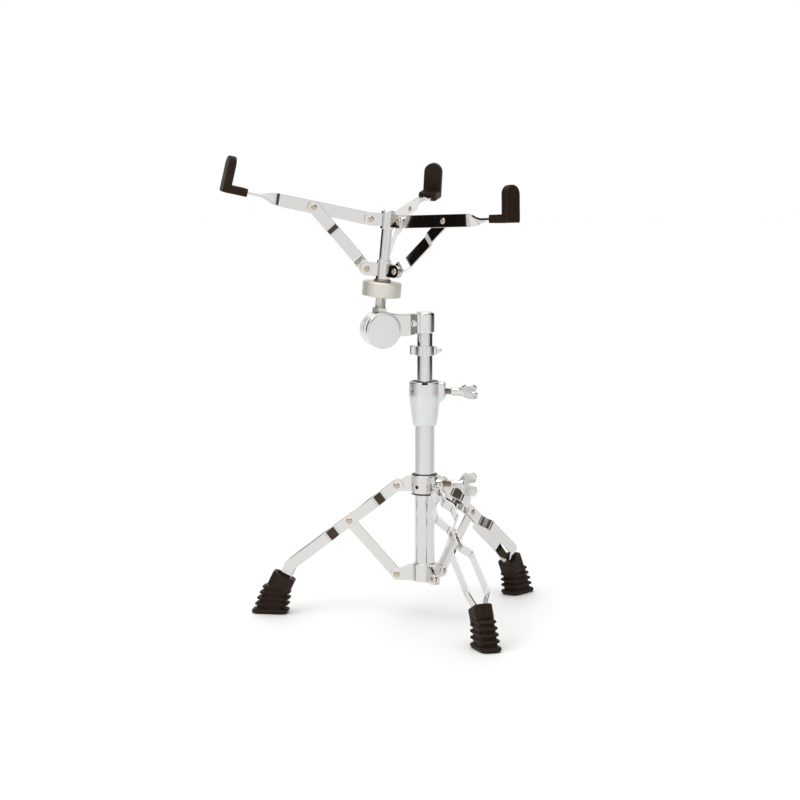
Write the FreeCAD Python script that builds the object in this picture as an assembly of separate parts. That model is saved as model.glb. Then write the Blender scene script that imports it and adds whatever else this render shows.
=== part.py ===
import FreeCAD, Part
import math
import os

# Double-braced folding snare drum stand.  Millimetres, +Z up, origin on the floor under the
# column axis, +X to the right and -Y to the front.
os.makedirs("parts", exist_ok=True)

V = FreeCAD.Vector
Z_AXIS = V(0, 0, 1)
Y_AXIS = V(0, 1, 0)
X_AXIS = V(1, 0, 0)

# ---- shared clearances ----
RUN = 0.05                    # radial running clearance of a shaft in its hole
SIDE = 0.3                    # side gap between faces that slide past each other

# ---- column ----
TUBE_R = 12.5                 # lower tube, 25 mm outside diameter
TUBE_BORE = 11.0
TUBE_Z = (50.0, 262.0)
UPPER_R = 10.0                # upper tube, 20 mm outside diameter
UPPER_BORE = 8.5
UPPER_Z = (140.0, 384.0)
UPPER_TRAVEL = (-26.0, 100.0)

# ---- height clamp ----
CLAMP_Z = (245.9, 301.4)
CLAMP_TOP_R = 20.0
CLAMP_FOOT_R = 15.4
CLAMP_FOOT_TOP = 248.0        # top of the short straight skirt
CLAMP_TAPER_H = 37.0
CLAMP_BOSS_HALF = 8.0         # half width of the screw boss
CLAMP_BOSS_LOW = (271.0, 16.0, 281.0)    # bottom at the wall, radius where it slopes out, bottom at the tip
CLAMP_NOTCH = (3.6, 3.0)      # half width and depth of the notch in the lip
CLAMP_HOLE = (-142.0, 291.0, 1.5)        # heading, height and radius of the small side hole
PLUG_H = 12.0
PLUG_FLOOR = 3.0
PLUG_WALL = 2.0
BUSH_R = 12.0
BUSH_FLANGE_R = 16.5
BUSH_FLANGE_Z = 298.0
CLAMP_BOSS_REACH = 26.6
CLAMP_SCREW_Z = 289.0
WING_AZ = -8.2                # heading of both wing screws, midway between two legs
CLAMP_WING_ROLL = 52.0
LEG_WING_ROLL = 12.0

# ---- wing screws ----
WING_SHANK_R = 4.0
WING_HUB = (34.0, 46.0)       # radial span of the round hub
WING_HUB_R = 5.6
WING_REACH = 67.0
WING_LOBE_R = 8.0
WING_LOBE_OFF = 8.5
WING_THICK = 4.0

# ---- legs ----
LEG_AZ = (171.8, 51.8, -68.2)
LEG_TOP = (35.0, 168.6)       # top pivot: radius, height
LEG_SLOPE = -37.6             # upper section, degrees from horizontal
LEG_SHIN_SLOPE = -64.5        # lower section
LEG_MID = 76.7                # top pivot to brace pivot, along the strap
LEG_KNEE = 171.2              # top pivot to knee, along the strap
LEG_SHIN = 58.0               # knee to the end of the strap inside the foot
LEG_W = 14.0
LEG_T = 2.0
LEG_HEAD = 8.0                # strap length beyond the top pivot
LEG_HEAD_CUT = 3.5
LEG_EAR_HALF = 2.5
# lateral centre line of one strap: (distance along the strap, distance from the leg plane)
LEG_BOW = 13.0
LEG_PINCH = 2.6
LEG_FLARE = ((-LEG_HEAD, 3.8), (11.0, 3.8), (28.0, LEG_BOW), (48.0, LEG_BOW), (66.0, LEG_PINCH),
             (86.0, LEG_PINCH), (106.0, LEG_BOW), (LEG_KNEE + 12.0, LEG_BOW))
SHIN_FLARE = ((-12.0, LEG_BOW), (3.0, LEG_BOW), (21.0, 4.2), (LEG_SHIN, 4.2))
LEG_TRAVEL = (-5.0, 48.0)     # travel of the leg collar

# ---- leg collar and brace collar ----
LEG_COLLAR_Z = (160.2, 183.4)
LEG_COLLAR_R = (15.0, 17.0)
LEG_LINER_Z = (158.4, 184.2)
LEG_BOSS_REACH = 24.0
LEG_BOSS_R = 8.0
LEG_SCREW_Z = 172.0
LEG_COLLAR_HOLE = (-126.6, 169.2, 2.2)   # heading, height and radius
LEG_LIP = 0.4                 # the nylon lips stop this far inside the collar's face
BRACE_COLLAR_Z = (48.0, 70.8)
BRACE_COLLAR_R = 15.0
BRACE_FOOT = (35.1, 55.2)     # lower brace pivot: radius, height
BRACE_W = 14.0
BRACE_T = 2.6
EAR_T = 2.2
RIVET_R = 2.5
RIVET_HEAD_R = 3.9
RIVET_HEAD_H = 1.6

# ---- feet ----
FOOT_MID = 199.0              # radius of the middle of the foot at the floor
FOOT_RAKE = 0.27              # inward shift of the ribs per millimetre of height
FOOT_RIBS = ((0.0, 6.5, 47.0, 27.5), (10.8, 3.6, 43.4, 26.0), (18.3, 3.6, 42.4, 25.5),
             (25.5, 3.6, 39.5, 25.0), (32.8, 3.4, 36.0, 24.5))    # height, thickness, length, width
FOOT_CORE = ((5.0, 38.0, 21.5), (37.0, 30.0, 20.0))    # height, length, width of the body between ribs
FOOT_NECK = (179.3, 49.6)     # middle of the neck's mouth: radius, height
FOOT_NECK_SIZE = (29.6, 23.5, 19.0)
FOOT_MOUTH = (19.0, 14.5, 6.0)

# ---- memory lock ----
LOCK_Z = (334.0, 346.0)
LOCK_R = 12.8
LOCK_HINGE = 16.4             # radius of the hinge pin
LOCK_SCREW_Z = 340.0
LOCK_KEY = (12.2, 15.4)
LOCK_TRAVEL = 12.0
LOCK_SCREW_REACH = 21.4

# ---- tilter ----
TILT_HEAD = 22.0              # heading of the bracket arm away from the column's right
TILT_ARM = 57.6               # column axis to the tilt axis
TILT_Z = 368.0
SOCKET_Z = (362.4, 388.7)
SOCKET_R = 12.5
ARM_Z = (359.0, 387.2)
ARM_HALF = 7.0
ARM_BACK = 1.7                # back face of the arm beside the discs, clear of the rod
ARM_STEP_X = -22.0            # where the arm returns to its full thickness
DISC_R = 23.4
DISC_N = (-2.0, 8.0)          # front disc, along the tilt axis
CAP_R = 20.8
CAP_N = (8.0, 9.0)
TILT_BOLT_R = 4.0
HOLDER_R = 22.5
HOLDER_N = (-20.5, -3.15)
ROD_N = -12.0                 # rod axis, along the tilt axis
TILT_RANGE = (-22.0, 85.0)
RECESS_X = (-21.5, -12.2)     # recess in the arm for the key bolt
RECESS_BACK = -2.8
ARM_NOTCH_X = (-32.0, -26.5)  # two slots across the underside of the arm
ARM_NOTCH = (2.4, 2.0)        # their width and depth
KEY_BOLT = (-16.8, 374.5)     # position along the arm, height
KEY_BOLT_R = 2.4
BOLT_HEAD = (7.2, 4.0)        # radius and start of the sunk head of the tilt bolt
WASHER_R = 17.0
NUT_LOBE_X = 12.0             # wing nut: middle and radius of each wing's round end
NUT_LOBE_R = 5.5
NUT_ROLL = 88.0

# ---- basket, in its own frame: Z along the rod, origin on the tilt axis ----
LEAN = 5.0                    # lean of the rod to the right
ROD_R = 7.0
ROD_H = (6.5, 148.0)
SEAT_H = 20.0
JAM_H = (20.0, 26.9)
JAM_AF = 17.3
NUT_H = (40.7, 59.3)
NUT_R = 24.3
HUB_R = 9.3
LOWER_HUB_H = (62.3, 86.0)
UPPER_HUB_H = (125.0, 147.0)
HUB_PIVOT_R = 22.5
LOWER_PIVOT_H = 74.3
UPPER_PIVOT_H = 136.0
CHEEK_H = 16.0
CHEEK_T = 2.0
BASKET_AZ = (195.0, 75.0, -45.0)
ARM_SLOPE = 7.5
ARM_W = 16.0
ARM_T = 3.0
ARM_PIVOT = 74.0              # hub pivot to brace pivot, along the arm
ARM_FLAT = 108.0              # where the twist starts
ARM_TWIST = 38.0              # length of the quarter twist
ARM_END = 36.0                # flat end after the twist
TWIST_SLOPE = 8.5
TIP_SLOPE = 8.0
TIP_LEG = 31.0
TIP_WALL_H = 45.0
TIP_THICK = 10.0
TIP_W = 23.0
TIP_START = 14.0              # where the rubber leg begins, past the twist
STRUT_W = 15.0
STRUT_T = 3.0
STRUT_SIDE = ARM_T / 2 + SIDE + STRUT_T / 2
STRUT_BOW = 3.6               # extra step outward between hub and arm
HUB_TRAVEL = (-5.0, 22.0)


# ---------- general helpers ----------
def save(name, shape):
    shape.exportStep("parts/%s.step" % name)


def cyl(radius, start, end):
    axis = end.sub(start)
    return Part.makeCylinder(radius, axis.Length, start, axis)


def tube(outer, inner, z0, z1):
    body = Part.makeCylinder(outer, z1 - z0, V(0, 0, z0))
    return body.cut(Part.makeCylinder(inner, z1 - z0 + 2, V(0, 0, z0 - 1)))


def box(x0, x1, y0, y1, z0, z1):
    return Part.makeBox(x1 - x0, y1 - y0, z1 - z0, V(x0, y0, z0))


def plate_xz(points, y0, y1):
    """Flat plate: an outline in the XZ plane, y0 to y1 thick."""
    loop = [V(x, y0, z) for x, z in points]
    face = Part.Face(Part.makePolygon(loop + [loop[0]]))
    return face.extrude(V(0, y1 - y0, 0))


def dome(radius, height, base, direction):
    """Shallow spherical rivet head standing on base."""
    ball_r = (radius * radius + height * height) / (2 * height)
    unit = V(direction).normalize()
    ball = Part.makeSphere(ball_r, base.add(unit * (height - ball_r)))
    return ball.common(Part.makeCylinder(radius, height, base, unit))


def turned(shape, angle, axis=Z_AXIS, centre=V(0, 0, 0)):
    copy = shape.copy()
    copy.rotate(centre, axis, angle)
    return copy


def moved(shape, x, y, z):
    copy = shape.copy()
    copy.translate(V(x, y, z))
    return copy


def fused(shapes):
    first = shapes[0]
    return first.fuse(shapes[1:]).removeSplitter()


def rounded_slab(length, width, radius, z0, height, x_mid=0.0):
    """Slab with rounded upright corners, long side along X."""
    slab = box(x_mid - length / 2, x_mid + length / 2, -width / 2, width / 2, z0, z0 + height)
    upright = [e for e in slab.Edges if abs(e.tangentAt(e.FirstParameter).z) > 0.9]
    return slab.makeFillet(radius, upright)


def ribbon(path, thickness, width):
    """Strap along X whose centre line follows (x, y) points; width runs along Z."""
    half = thickness / 2
    near = [V(x, y - half, -width / 2) for x, y in path]
    far = [V(x, y + half, -width / 2) for x, y in reversed(path)]
    loop = near + far
    face = Part.Face(Part.makePolygon(loop + [loop[0]]))
    return face.extrude(V(0, 0, width))


def mirrored_y(shape):
    return shape.mirror(V(0, 0, 0), Y_AXIS)


def pivot_pin(x, z, half, radius=RIVET_R):
    """Through rivet along Y with a domed head outside each face."""
    shank = cyl(radius, V(x, -half, z), V(x, half, z))
    heads = [dome(RIVET_HEAD_R, RIVET_HEAD_H, V(x, side * half, z), V(0, side, 0)) for side in (1, -1)]
    return fused([shank] + heads)


def pivot_hole(x, z, half=40.0, radius=RIVET_R + RUN):
    return cyl(radius, V(x, -half, z), V(x, half, z))


def rounded_ear(x0, x1, z, height, y0, y1):
    """Upright ear plate from x0 to a round end about the pivot at x1."""
    half = height / 2
    return box(x0, x1, y0, y1, z - half, z + half).fuse(cyl(half, V(x1, y0, z), V(x1, y1, z)))


def radial_hole(azimuth, z, radius, start, end):
    """Cutter for a round hole on a radius of the column."""
    out = V(math.cos(math.radians(azimuth)), math.sin(math.radians(azimuth)), 0)
    return cyl(radius, V(0, 0, z).add(out * start), V(0, 0, z).add(out * end))


# ---------- column ----------
def make_main_tube():
    return tube(TUBE_R, TUBE_BORE, *TUBE_Z)


def make_tube_plug():
    z0 = TUBE_Z[0]
    plug = Part.makeCylinder(TUBE_BORE, PLUG_H, V(0, 0, z0 + 1.0))
    return plug.cut(Part.makeCylinder(TUBE_BORE - PLUG_WALL, PLUG_H, V(0, 0, z0 + 1.0 + PLUG_FLOOR)))


def make_height_clamp():
    z0, z1 = CLAMP_Z
    skirt = Part.makeCylinder(CLAMP_FOOT_R, CLAMP_FOOT_TOP - z0, V(0, 0, z0))
    taper = Part.makeCone(CLAMP_FOOT_R, CLAMP_TOP_R, CLAMP_TAPER_H, V(0, 0, CLAMP_FOOT_TOP))
    shoulder = CLAMP_FOOT_TOP + CLAMP_TAPER_H
    head = Part.makeCylinder(CLAMP_TOP_R, z1 - shoulder, V(0, 0, shoulder))
    low, knee, tip_low = CLAMP_BOSS_LOW
    boss = plate_xz([(0, z1), (CLAMP_BOSS_REACH, z1), (CLAMP_BOSS_REACH, tip_low), (knee, low), (0, low)],
                    -CLAMP_BOSS_HALF, CLAMP_BOSS_HALF)
    body = fused([skirt, taper, head, turned(boss, WING_AZ)])
    body = body.cut(Part.makeCylinder(TUBE_R, TUBE_Z[1] - z0 + 1, V(0, 0, z0 - 1)))
    body = body.cut(Part.makeCylinder(BUSH_R, z1 - TUBE_Z[1] + 1, V(0, 0, TUBE_Z[1])))
    body = body.cut(Part.makeCylinder(BUSH_FLANGE_R + SIDE, z1 - BUSH_FLANGE_Z + 1, V(0, 0, BUSH_FLANGE_Z)))
    half, depth = CLAMP_NOTCH
    body = body.cut(box(-half, half, -CLAMP_TOP_R - 1, -BUSH_FLANGE_R, z1 - depth, z1 + 1))
    body = body.cut(radial_hole(WING_AZ, CLAMP_SCREW_Z, WING_SHANK_R + RUN, 11.0, 40.0))
    return body.cut(radial_hole(*CLAMP_HOLE, 15.0, 25.0))


def make_clamp_bush():
    sleeve = tube(BUSH_R - RUN, UPPER_R + RUN, TUBE_Z[1] + SIDE, CLAMP_Z[1] - 0.8)
    flange = tube(BUSH_FLANGE_R, UPPER_R + RUN, BUSH_FLANGE_Z + SIDE, CLAMP_Z[1] - 0.8)
    return fused([sleeve, flange])


def make_wing_screw(tip_r, z, roll):
    """Shank along X from tip_r, round hub and two broad rounded wings in one flat plate."""
    shank = cyl(WING_SHANK_R, V(tip_r, 0, 0), V(WING_HUB[0] + 2, 0, 0))
    hub = cyl(WING_HUB_R, V(WING_HUB[0], 0, 0), V(WING_HUB[1], 0, 0))
    half = WING_THICK / 2
    lobe_x = WING_REACH - WING_LOBE_R
    lobes = [cyl(WING_LOBE_R, V(lobe_x, -half, side * WING_LOBE_OFF), V(lobe_x, half, side * WING_LOBE_OFF))
             for side in (1, -1)]
    web = plate_xz([(WING_HUB[0] + 4, -5.0), (WING_HUB[1], -7.5), (lobe_x, -WING_LOBE_OFF - 7.5),
                    (lobe_x + 4, -4.0), (lobe_x + 4, 4.0), (lobe_x, WING_LOBE_OFF + 7.5),
                    (WING_HUB[1], 7.5), (WING_HUB[0] + 4, 5.0)], -half, half)
    screw = fused([shank, hub, web] + lobes)
    screw = turned(screw, roll, X_AXIS)
    return moved(turned(screw, WING_AZ), 0, 0, z)


def make_upper_tube():
    return tube(UPPER_R, UPPER_BORE, *UPPER_Z)


# ---------- leg collar and brace collar ----------
def make_leg_collar():
    body = Part.makeCylinder(LEG_COLLAR_R[1], LEG_COLLAR_Z[1] - LEG_COLLAR_Z[0], V(0, 0, LEG_COLLAR_Z[0]))
    boss = cyl(LEG_BOSS_R, V(0, 0, 0), V(LEG_BOSS_REACH, 0, 0))
    parts = [body, moved(turned(boss, WING_AZ), 0, 0, LEG_SCREW_Z)]
    for azimuth in LEG_AZ:
        ear = rounded_ear(12.0, LEG_TOP[0], LEG_TOP[1], LEG_W, -LEG_EAR_HALF, LEG_EAR_HALF)
        root = plate_xz([(12.0, LEG_COLLAR_Z[0] + 1), (22.0, LEG_COLLAR_Z[0] + 1), (31.0, 161.9),
                         (31.0, 175.3), (22.0, LEG_COLLAR_Z[1] - 1), (12.0, LEG_COLLAR_Z[1] - 1)],
                        -LEG_EAR_HALF, LEG_EAR_HALF)
        ear = ear.fuse(root).cut(pivot_hole(*LEG_TOP))
        parts.append(turned(ear, azimuth))
    collar = fused(parts)
    collar = collar.cut(Part.makeCylinder(LEG_COLLAR_R[0], 60.0, V(0, 0, 140.0)))
    collar = collar.cut(radial_hole(WING_AZ, LEG_SCREW_Z, WING_SHANK_R + RUN, 10.0, 40.0))
    return collar.cut(radial_hole(*LEG_COLLAR_HOLE, 14.0, 20.0))


def make_leg_collar_liner():
    liner = tube(LEG_COLLAR_R[0], TUBE_R + RUN, *LEG_LINER_Z)
    lip = tube(LEG_COLLAR_R[1] - LEG_LIP, LEG_COLLAR_R[0], LEG_LINER_Z[0], LEG_COLLAR_Z[0])
    lip_top = tube(LEG_COLLAR_R[1] - LEG_LIP, LEG_COLLAR_R[0], LEG_COLLAR_Z[1], LEG_LINER_Z[1])
    liner = fused([liner, lip, lip_top])
    return liner.cut(radial_hole(WING_AZ, LEG_SCREW_Z, WING_SHANK_R + SIDE, 10.0, 20.0))


def make_brace_collar():
    z0, z1 = BRACE_COLLAR_Z
    parts = [Part.makeCylinder(BRACE_COLLAR_R, z1 - z0, V(0, 0, z0))]
    inner = BRACE_T / 2 + SIDE
    for azimuth in LEG_AZ:
        for side in (1, -1):
            y0, y1 = sorted((side * inner, side * (inner + EAR_T)))
            ear = rounded_ear(12.0, BRACE_FOOT[0], BRACE_FOOT[1], 14.4, y0, y1)
            root = plate_xz([(12.0, z0), (24.0, z0), (BRACE_FOOT[0], z0 + 0.1), (BRACE_FOOT[0], z0 + 14.2),
                             (22.0, z1 - 3.5), (12.0, z1 - 3.5)], y0, y1)
            ear = ear.fuse(root).cut(pivot_hole(*BRACE_FOOT, radius=RIVET_R))
            parts.append(turned(ear, azimuth))
    collar = fused(parts)
    return collar.cut(Part.makeCylinder(TUBE_R, z1 - z0 + 2, V(0, 0, z0 - 1)))


def make_brace_collar_rivets():
    half = BRACE_T / 2 + SIDE + EAR_T
    pins = [turned(pivot_pin(BRACE_FOOT[0], BRACE_FOOT[1], half), azimuth) for azimuth in LEG_AZ]
    return Part.makeCompound(pins)


# ---------- legs ----------
def leg_point(distance):
    angle = math.radians(LEG_SLOPE)
    return (LEG_TOP[0] + distance * math.cos(angle), LEG_TOP[1] + distance * math.sin(angle))


def band_edge(origin, slope, offset):
    """A point and a direction on the edge of an in-plane band."""
    angle = math.radians(slope)
    point = (origin[0] - offset * math.sin(angle), origin[1] + offset * math.cos(angle))
    return point, (math.cos(angle), math.sin(angle))


def crossing(first, second):
    (px, pz), (dx, dz) = first
    (qx, qz), (ex, ez) = second
    along = ((qx - px) * ez - (qz - pz) * ex) / (dx * ez - dz * ex)
    return (px + along * dx, pz + along * dz)


def strap_outlines():
    """Outlines of the upper and lower sections of a strap, mitred at the knee."""
    knee = leg_point(LEG_KNEE)
    half = LEG_W / 2
    mitre = [crossing(band_edge(knee, LEG_SLOPE, side * half), band_edge(knee, LEG_SHIN_SLOPE, side * half))
             for side in (1, -1)]
    angle = math.radians(LEG_SLOPE)
    shin = math.radians(LEG_SHIN_SLOPE)

    def at(distance, offset):
        x, z = leg_point(distance)
        return (x - offset * math.sin(angle), z + offset * math.cos(angle))

    def at_shin(distance, offset):
        x = knee[0] + distance * math.cos(shin)
        z = knee[1] + distance * math.sin(shin)
        return (x - offset * math.sin(shin), z + offset * math.cos(shin))

    cut = LEG_HEAD_CUT
    upper = [at(-LEG_HEAD, half - cut), at(-LEG_HEAD + cut, half), mitre[0], mitre[1],
             at(-LEG_HEAD + cut, -half), at(-LEG_HEAD, -half + cut)]
    lower = [mitre[0], at_shin(LEG_SHIN, half), at_shin(LEG_SHIN, -half), mitre[1]]
    return upper, lower


def make_leg_strap(side):
    """One strap of a leg in the leg's own plane, on the side given."""
    upper, lower = strap_outlines()
    wide = 40.0
    flare = turned(ribbon(LEG_FLARE, LEG_T, wide), -LEG_SLOPE, Y_AXIS)
    flare = moved(flare, LEG_TOP[0], 0, LEG_TOP[1])
    knee = leg_point(LEG_KNEE)
    shin = moved(turned(ribbon(SHIN_FLARE, LEG_T, wide), -LEG_SHIN_SLOPE, Y_AXIS), knee[0], 0, knee[1])
    strap = fused([plate_xz(upper, 0, 20).common(flare), plate_xz(lower, 0, 20).common(shin)])
    strap = strap.cut(pivot_hole(*LEG_TOP, radius=RIVET_R))
    strap = strap.cut(pivot_hole(*leg_point(LEG_MID), radius=RIVET_R))
    return strap if side > 0 else mirrored_y(strap)


def make_leg_rivets():
    """The top pivot rivet, and the two rivet halves that hold the brace between the straps."""
    top_half = LEG_FLARE[0][1] + LEG_T / 2
    pieces = [pivot_pin(LEG_TOP[0], LEG_TOP[1], top_half)]
    x, z = leg_point(LEG_MID)
    inner = LEG_PINCH - LEG_T / 2
    outer = LEG_PINCH + LEG_T / 2
    for side in (1, -1):
        shank = cyl(RIVET_R, V(x, side * inner, z), V(x, side * outer, z))
        head = dome(RIVET_HEAD_R, RIVET_HEAD_H, V(x, side * outer, z), V(0, side, 0))
        pieces.append(shank.fuse(head))
    return Part.makeCompound(pieces)


def make_foot(straps):
    """Rubber foot: sole, ribs and a neck square to the lower leg, with pockets for the two straps."""
    def centre(z):
        return FOOT_MID - FOOT_RAKE * z

    rings = []
    for z, length, width in FOOT_CORE:
        slab = rounded_slab(length, width, 6.0, z, 1.0, centre(z))
        bottom = min(slab.Faces, key=lambda f: f.CenterOfMass.z)
        rings.append(bottom.OuterWire)
    pieces = [Part.makeLoft(rings, True, True)]
    for z, height, length, width in FOOT_RIBS:
        pieces.append(rounded_slab(length, width, 8.0, z, height, centre(z + height / 2)))
    length, width, depth = FOOT_NECK_SIZE
    pieces.append(foot_neck(rounded_slab(length, width, 5.0, -depth, depth)))
    length, width, depth = FOOT_MOUTH
    mouth = foot_neck(rounded_slab(length, width, 3.0, -depth, depth + 5.0))
    return fused(pieces).cut(mouth).cut(straps)


def foot_neck(shape):
    """From the neck's own frame (mouth at the top, opening upward) to the leg's plane."""
    tilt = 90.0 + LEG_SHIN_SLOPE
    return moved(turned(shape, -tilt, Y_AXIS), FOOT_NECK[0], 0, FOOT_NECK[1])


def make_leg_brace():
    x0, z0 = BRACE_FOOT
    x1, z1 = leg_point(LEG_MID)
    length = math.hypot(x1 - x0, z1 - z0)
    half = BRACE_W / 2
    strap = box(0, length, -BRACE_T / 2, BRACE_T / 2, -half, half)
    ends = [cyl(half, V(x, -BRACE_T / 2, 0), V(x, BRACE_T / 2, 0)) for x in (0, length)]
    strap = fused([strap] + ends).cut(pivot_hole(0, 0))
    slope = math.degrees(math.atan2(z1 - z0, x1 - x0))
    return moved(turned(strap, -slope, Y_AXIS), x0, 0, z0)


# ---------- memory lock ----------
def lock_half(side):
    """One half ring with its hinge and screw lugs; side -1 is the front half."""
    z0, z1 = LOCK_Z
    ring = Part.makeCylinder(LOCK_R, z1 - z0, V(0, 0, z0))
    hinge_lug = box(-LOCK_HINGE, -8.0, -4.6, 4.6, z0 + 1, z1 - 1)
    screw_lug = box(8.0, 14.8, -4.6, 4.6, z0 + 1, z1 - 1)
    body = fused([ring, hinge_lug, screw_lug])
    if side < 0:
        key = box(-2.5, 2.5, -LOCK_KEY[1], -LOCK_KEY[0] + 2.0, z0 - 2.2, z1 + 1.2)
        body = body.fuse(key)
    body = body.cut(Part.makeCylinder(UPPER_R + RUN, 40.0, V(0, 0, z0 - 10)))
    y0, y1 = (-30.0, -0.25) if side < 0 else (0.25, 30.0)
    body = body.common(box(-30, 30, y0, y1, z0 - 5, z1 + 5))
    body = body.cut(Part.makeCylinder(2.3, 40.0, V(-LOCK_HINGE, 0, z0 - 10)))
    return body.cut(cyl(2.5 + RUN, V(12.0, 0, LOCK_SCREW_Z), V(40.0, 0, LOCK_SCREW_Z))).removeSplitter()


def make_lock_pin():
    z0, z1 = LOCK_Z
    x = -LOCK_HINGE
    barrel = Part.makeCylinder(2.3, z1 - z0 - 2, V(x, 0, z0 + 1))
    head = Part.makeCylinder(3.2, 1.2, V(x, 0, z1 - 1))
    return fused([barrel, head])


def make_lock_screw():
    """Key screw along +X with a square head and a cone point."""
    z = LOCK_SCREW_Z
    shank = cyl(2.5, V(12.4, 0, z), V(17.0, 0, z))
    collar = cyl(3.6, V(15.1, 0, z), V(17.0, 0, z))
    head = box(16.5, LOCK_SCREW_REACH - 1.6, -2.6, 2.6, z - 2.6, z + 2.6)
    point = Part.makeCone(2.5, 1.2, 1.8, V(LOCK_SCREW_REACH - 1.8, 0, z), X_AXIS)
    return fused([shank, collar, head, point])


# ---------- tilter: local frame X along the arm, Y along the tilt axis (the front is -Y) ----------
def tilter_shape(shape):
    """Turn a part drawn with Y pointing to the back into the stand's frame."""
    return turned(shape, TILT_HEAD)


def disc(radius, front0, front1, x=-TILT_ARM, z=TILT_Z):
    """Disc about the tilt axis, between two distances to the front of the column plane."""
    return cyl(radius, V(x, -front0, z), V(x, -front1, z))


def make_tilter_bracket():
    z0, z1 = SOCKET_Z
    socket = Part.makeCylinder(SOCKET_R, z1 - z0, V(0, 0, z0))
    crown = [e for e in socket.Edges if e.CenterOfMass.z > z1 - 0.1 and len(e.Vertexes) == 1]
    socket = socket.makeFillet(4.0, crown)
    arm = plate_xz([(-TILT_ARM, ARM_Z[0] + 1), (-30.0, ARM_Z[0]), (-8.0, SOCKET_Z[0]), (-8.0, ARM_Z[1] - 1),
                    (-30.0, ARM_Z[1]), (-TILT_ARM, TILT_Z + DISC_R)], -ARM_HALF, ARM_HALF)
    relief = box(-TILT_ARM - 5, ARM_STEP_X, ARM_BACK, ARM_HALF + 1, ARM_Z[0] - 5, TILT_Z + DISC_R + 5)
    plate = disc(DISC_R, *DISC_N)
    body = fused([socket, arm.cut(relief), plate])
    body = body.cut(disc(DISC_R + 0.6, HOLDER_N[0] - 3, DISC_N[0]))
    body = body.cut(box(*RECESS_X, -20.0, RECESS_BACK, ARM_Z[0] + 2.5, ARM_Z[1] + 3))
    width, depth = ARM_NOTCH
    for x in ARM_NOTCH_X:
        body = body.cut(box(x, x + width, -20.0, 20.0, ARM_Z[0] - 1, ARM_Z[0] + depth))
    body = body.cut(Part.makeCylinder(UPPER_R, UPPER_Z[1] - z0 + 1, V(0, 0, z0 - 1)))
    body = body.cut(disc(TILT_BOLT_R, -30, 30))
    body = body.cut(disc(*BOLT_HEAD, DISC_N[1] + 1))
    return body.cut(key_bolt_bar(KEY_BOLT_R, -20.0, 5.0))


def make_tilter_bolt():
    return fused([disc(TILT_BOLT_R, -38.0, 5.0), disc(*BOLT_HEAD, DISC_N[1])])


def key_bolt_bar(radius, y0, y1):
    x, z = KEY_BOLT
    return cyl(radius, V(x, y0, z), V(x, y1, z))


def make_tilter_key_bolt():
    """Flanged bolt with a square head in the arm's recess."""
    x, z = KEY_BOLT
    head = box(x - 2.7, x + 2.7, -8.8, -4.0, z - 2.7, z + 2.7)
    return fused([key_bolt_bar(4.2, -4.4, RECESS_BACK), key_bolt_bar(KEY_BOLT_R, -4.0, 5.0), head])


def make_tilter_washer():
    ring = disc(WASHER_R, HOLDER_N[1] + 0.15, DISC_N[0])
    return ring.cut(disc(TILT_BOLT_R, -30, 30))


def make_tilter_wing_nut():
    """Wing nut on the back of the tilt bolt."""
    back = -HOLDER_N[0] + 0.3
    hub = cyl(8.0, V(0, back, 0), V(0, back + 3.0, 0)).fuse(cyl(6.5, V(0, back, 0), V(0, back + 12.0, 0)))
    half = WING_THICK / 2
    lobes = [cyl(NUT_LOBE_R, V(side * NUT_LOBE_X, -half, back + 13.0), V(side * NUT_LOBE_X, half, back + 13.0))
             for side in (1, -1)]
    edge = NUT_LOBE_X + NUT_LOBE_R - 1.5
    web = plate_xz([(-6.0, back + 4), (6.0, back + 4), (edge, back + 10.0), (NUT_LOBE_X, back + 18.5),
                    (4.0, back + 11.5), (-4.0, back + 11.5), (-NUT_LOBE_X, back + 18.5), (-edge, back + 10.0)],
                   -half, half)
    wings = turned(fused([web] + lobes), -90.0, X_AXIS)
    nut = fused([hub, wings])
    nut = nut.cut(cyl(TILT_BOLT_R + RUN, V(0, back - 1, 0), V(0, back + 30, 0)))
    nut = turned(nut, NUT_ROLL, Y_AXIS)
    return moved(nut, -TILT_ARM, 0, TILT_Z)


# ---------- basket ----------
def basket_place(shape):
    """From the basket frame (Z along the rod, origin on the tilt axis) to the stand's frame."""
    angle = math.radians(TILT_HEAD)
    x = -TILT_ARM * math.cos(angle) + ROD_N * math.sin(angle)
    y = -TILT_ARM * math.sin(angle) - ROD_N * math.cos(angle)
    return moved(turned(shape, LEAN, Y_AXIS), x, y, TILT_Z)


def make_rod_holder():
    """Rear disc of the tilter with the rod's bore and a flat for the jam nut."""
    body = tilter_shape(disc(HOLDER_R, *HOLDER_N))
    body = body.cut(tilter_shape(disc(TILT_BOLT_R + RUN, -60, 60)))
    above = basket_place(Part.makeBox(80, 80, 40, V(-40, -40, SEAT_H)))
    body = body.cut(above)
    return body.cut(basket_place(Part.makeCylinder(ROD_R, 40.0, V(0, 0, ROD_H[0]))))


def make_rod():
    rod = Part.makeCylinder(ROD_R, ROD_H[1] - ROD_H[0], V(0, 0, ROD_H[0]))
    top = [e for e in rod.Edges if e.CenterOfMass.z > ROD_H[1] - 0.1 and len(e.Vertexes) == 1]
    return rod.makeChamfer(1.0, top)


def make_jam_nut():
    corner = JAM_AF / math.sqrt(3)
    loop = [V(corner * math.cos(math.radians(60 * i)), corner * math.sin(math.radians(60 * i)), JAM_H[0])
            for i in range(6)]
    hexagon = Part.Face(Part.makePolygon(loop + [loop[0]])).extrude(V(0, 0, JAM_H[1] - JAM_H[0]))
    hexagon = turned(hexagon, TILT_HEAD)
    return hexagon.cut(Part.makeCylinder(ROD_R, 40.0, V(0, 0, 0)))


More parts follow.
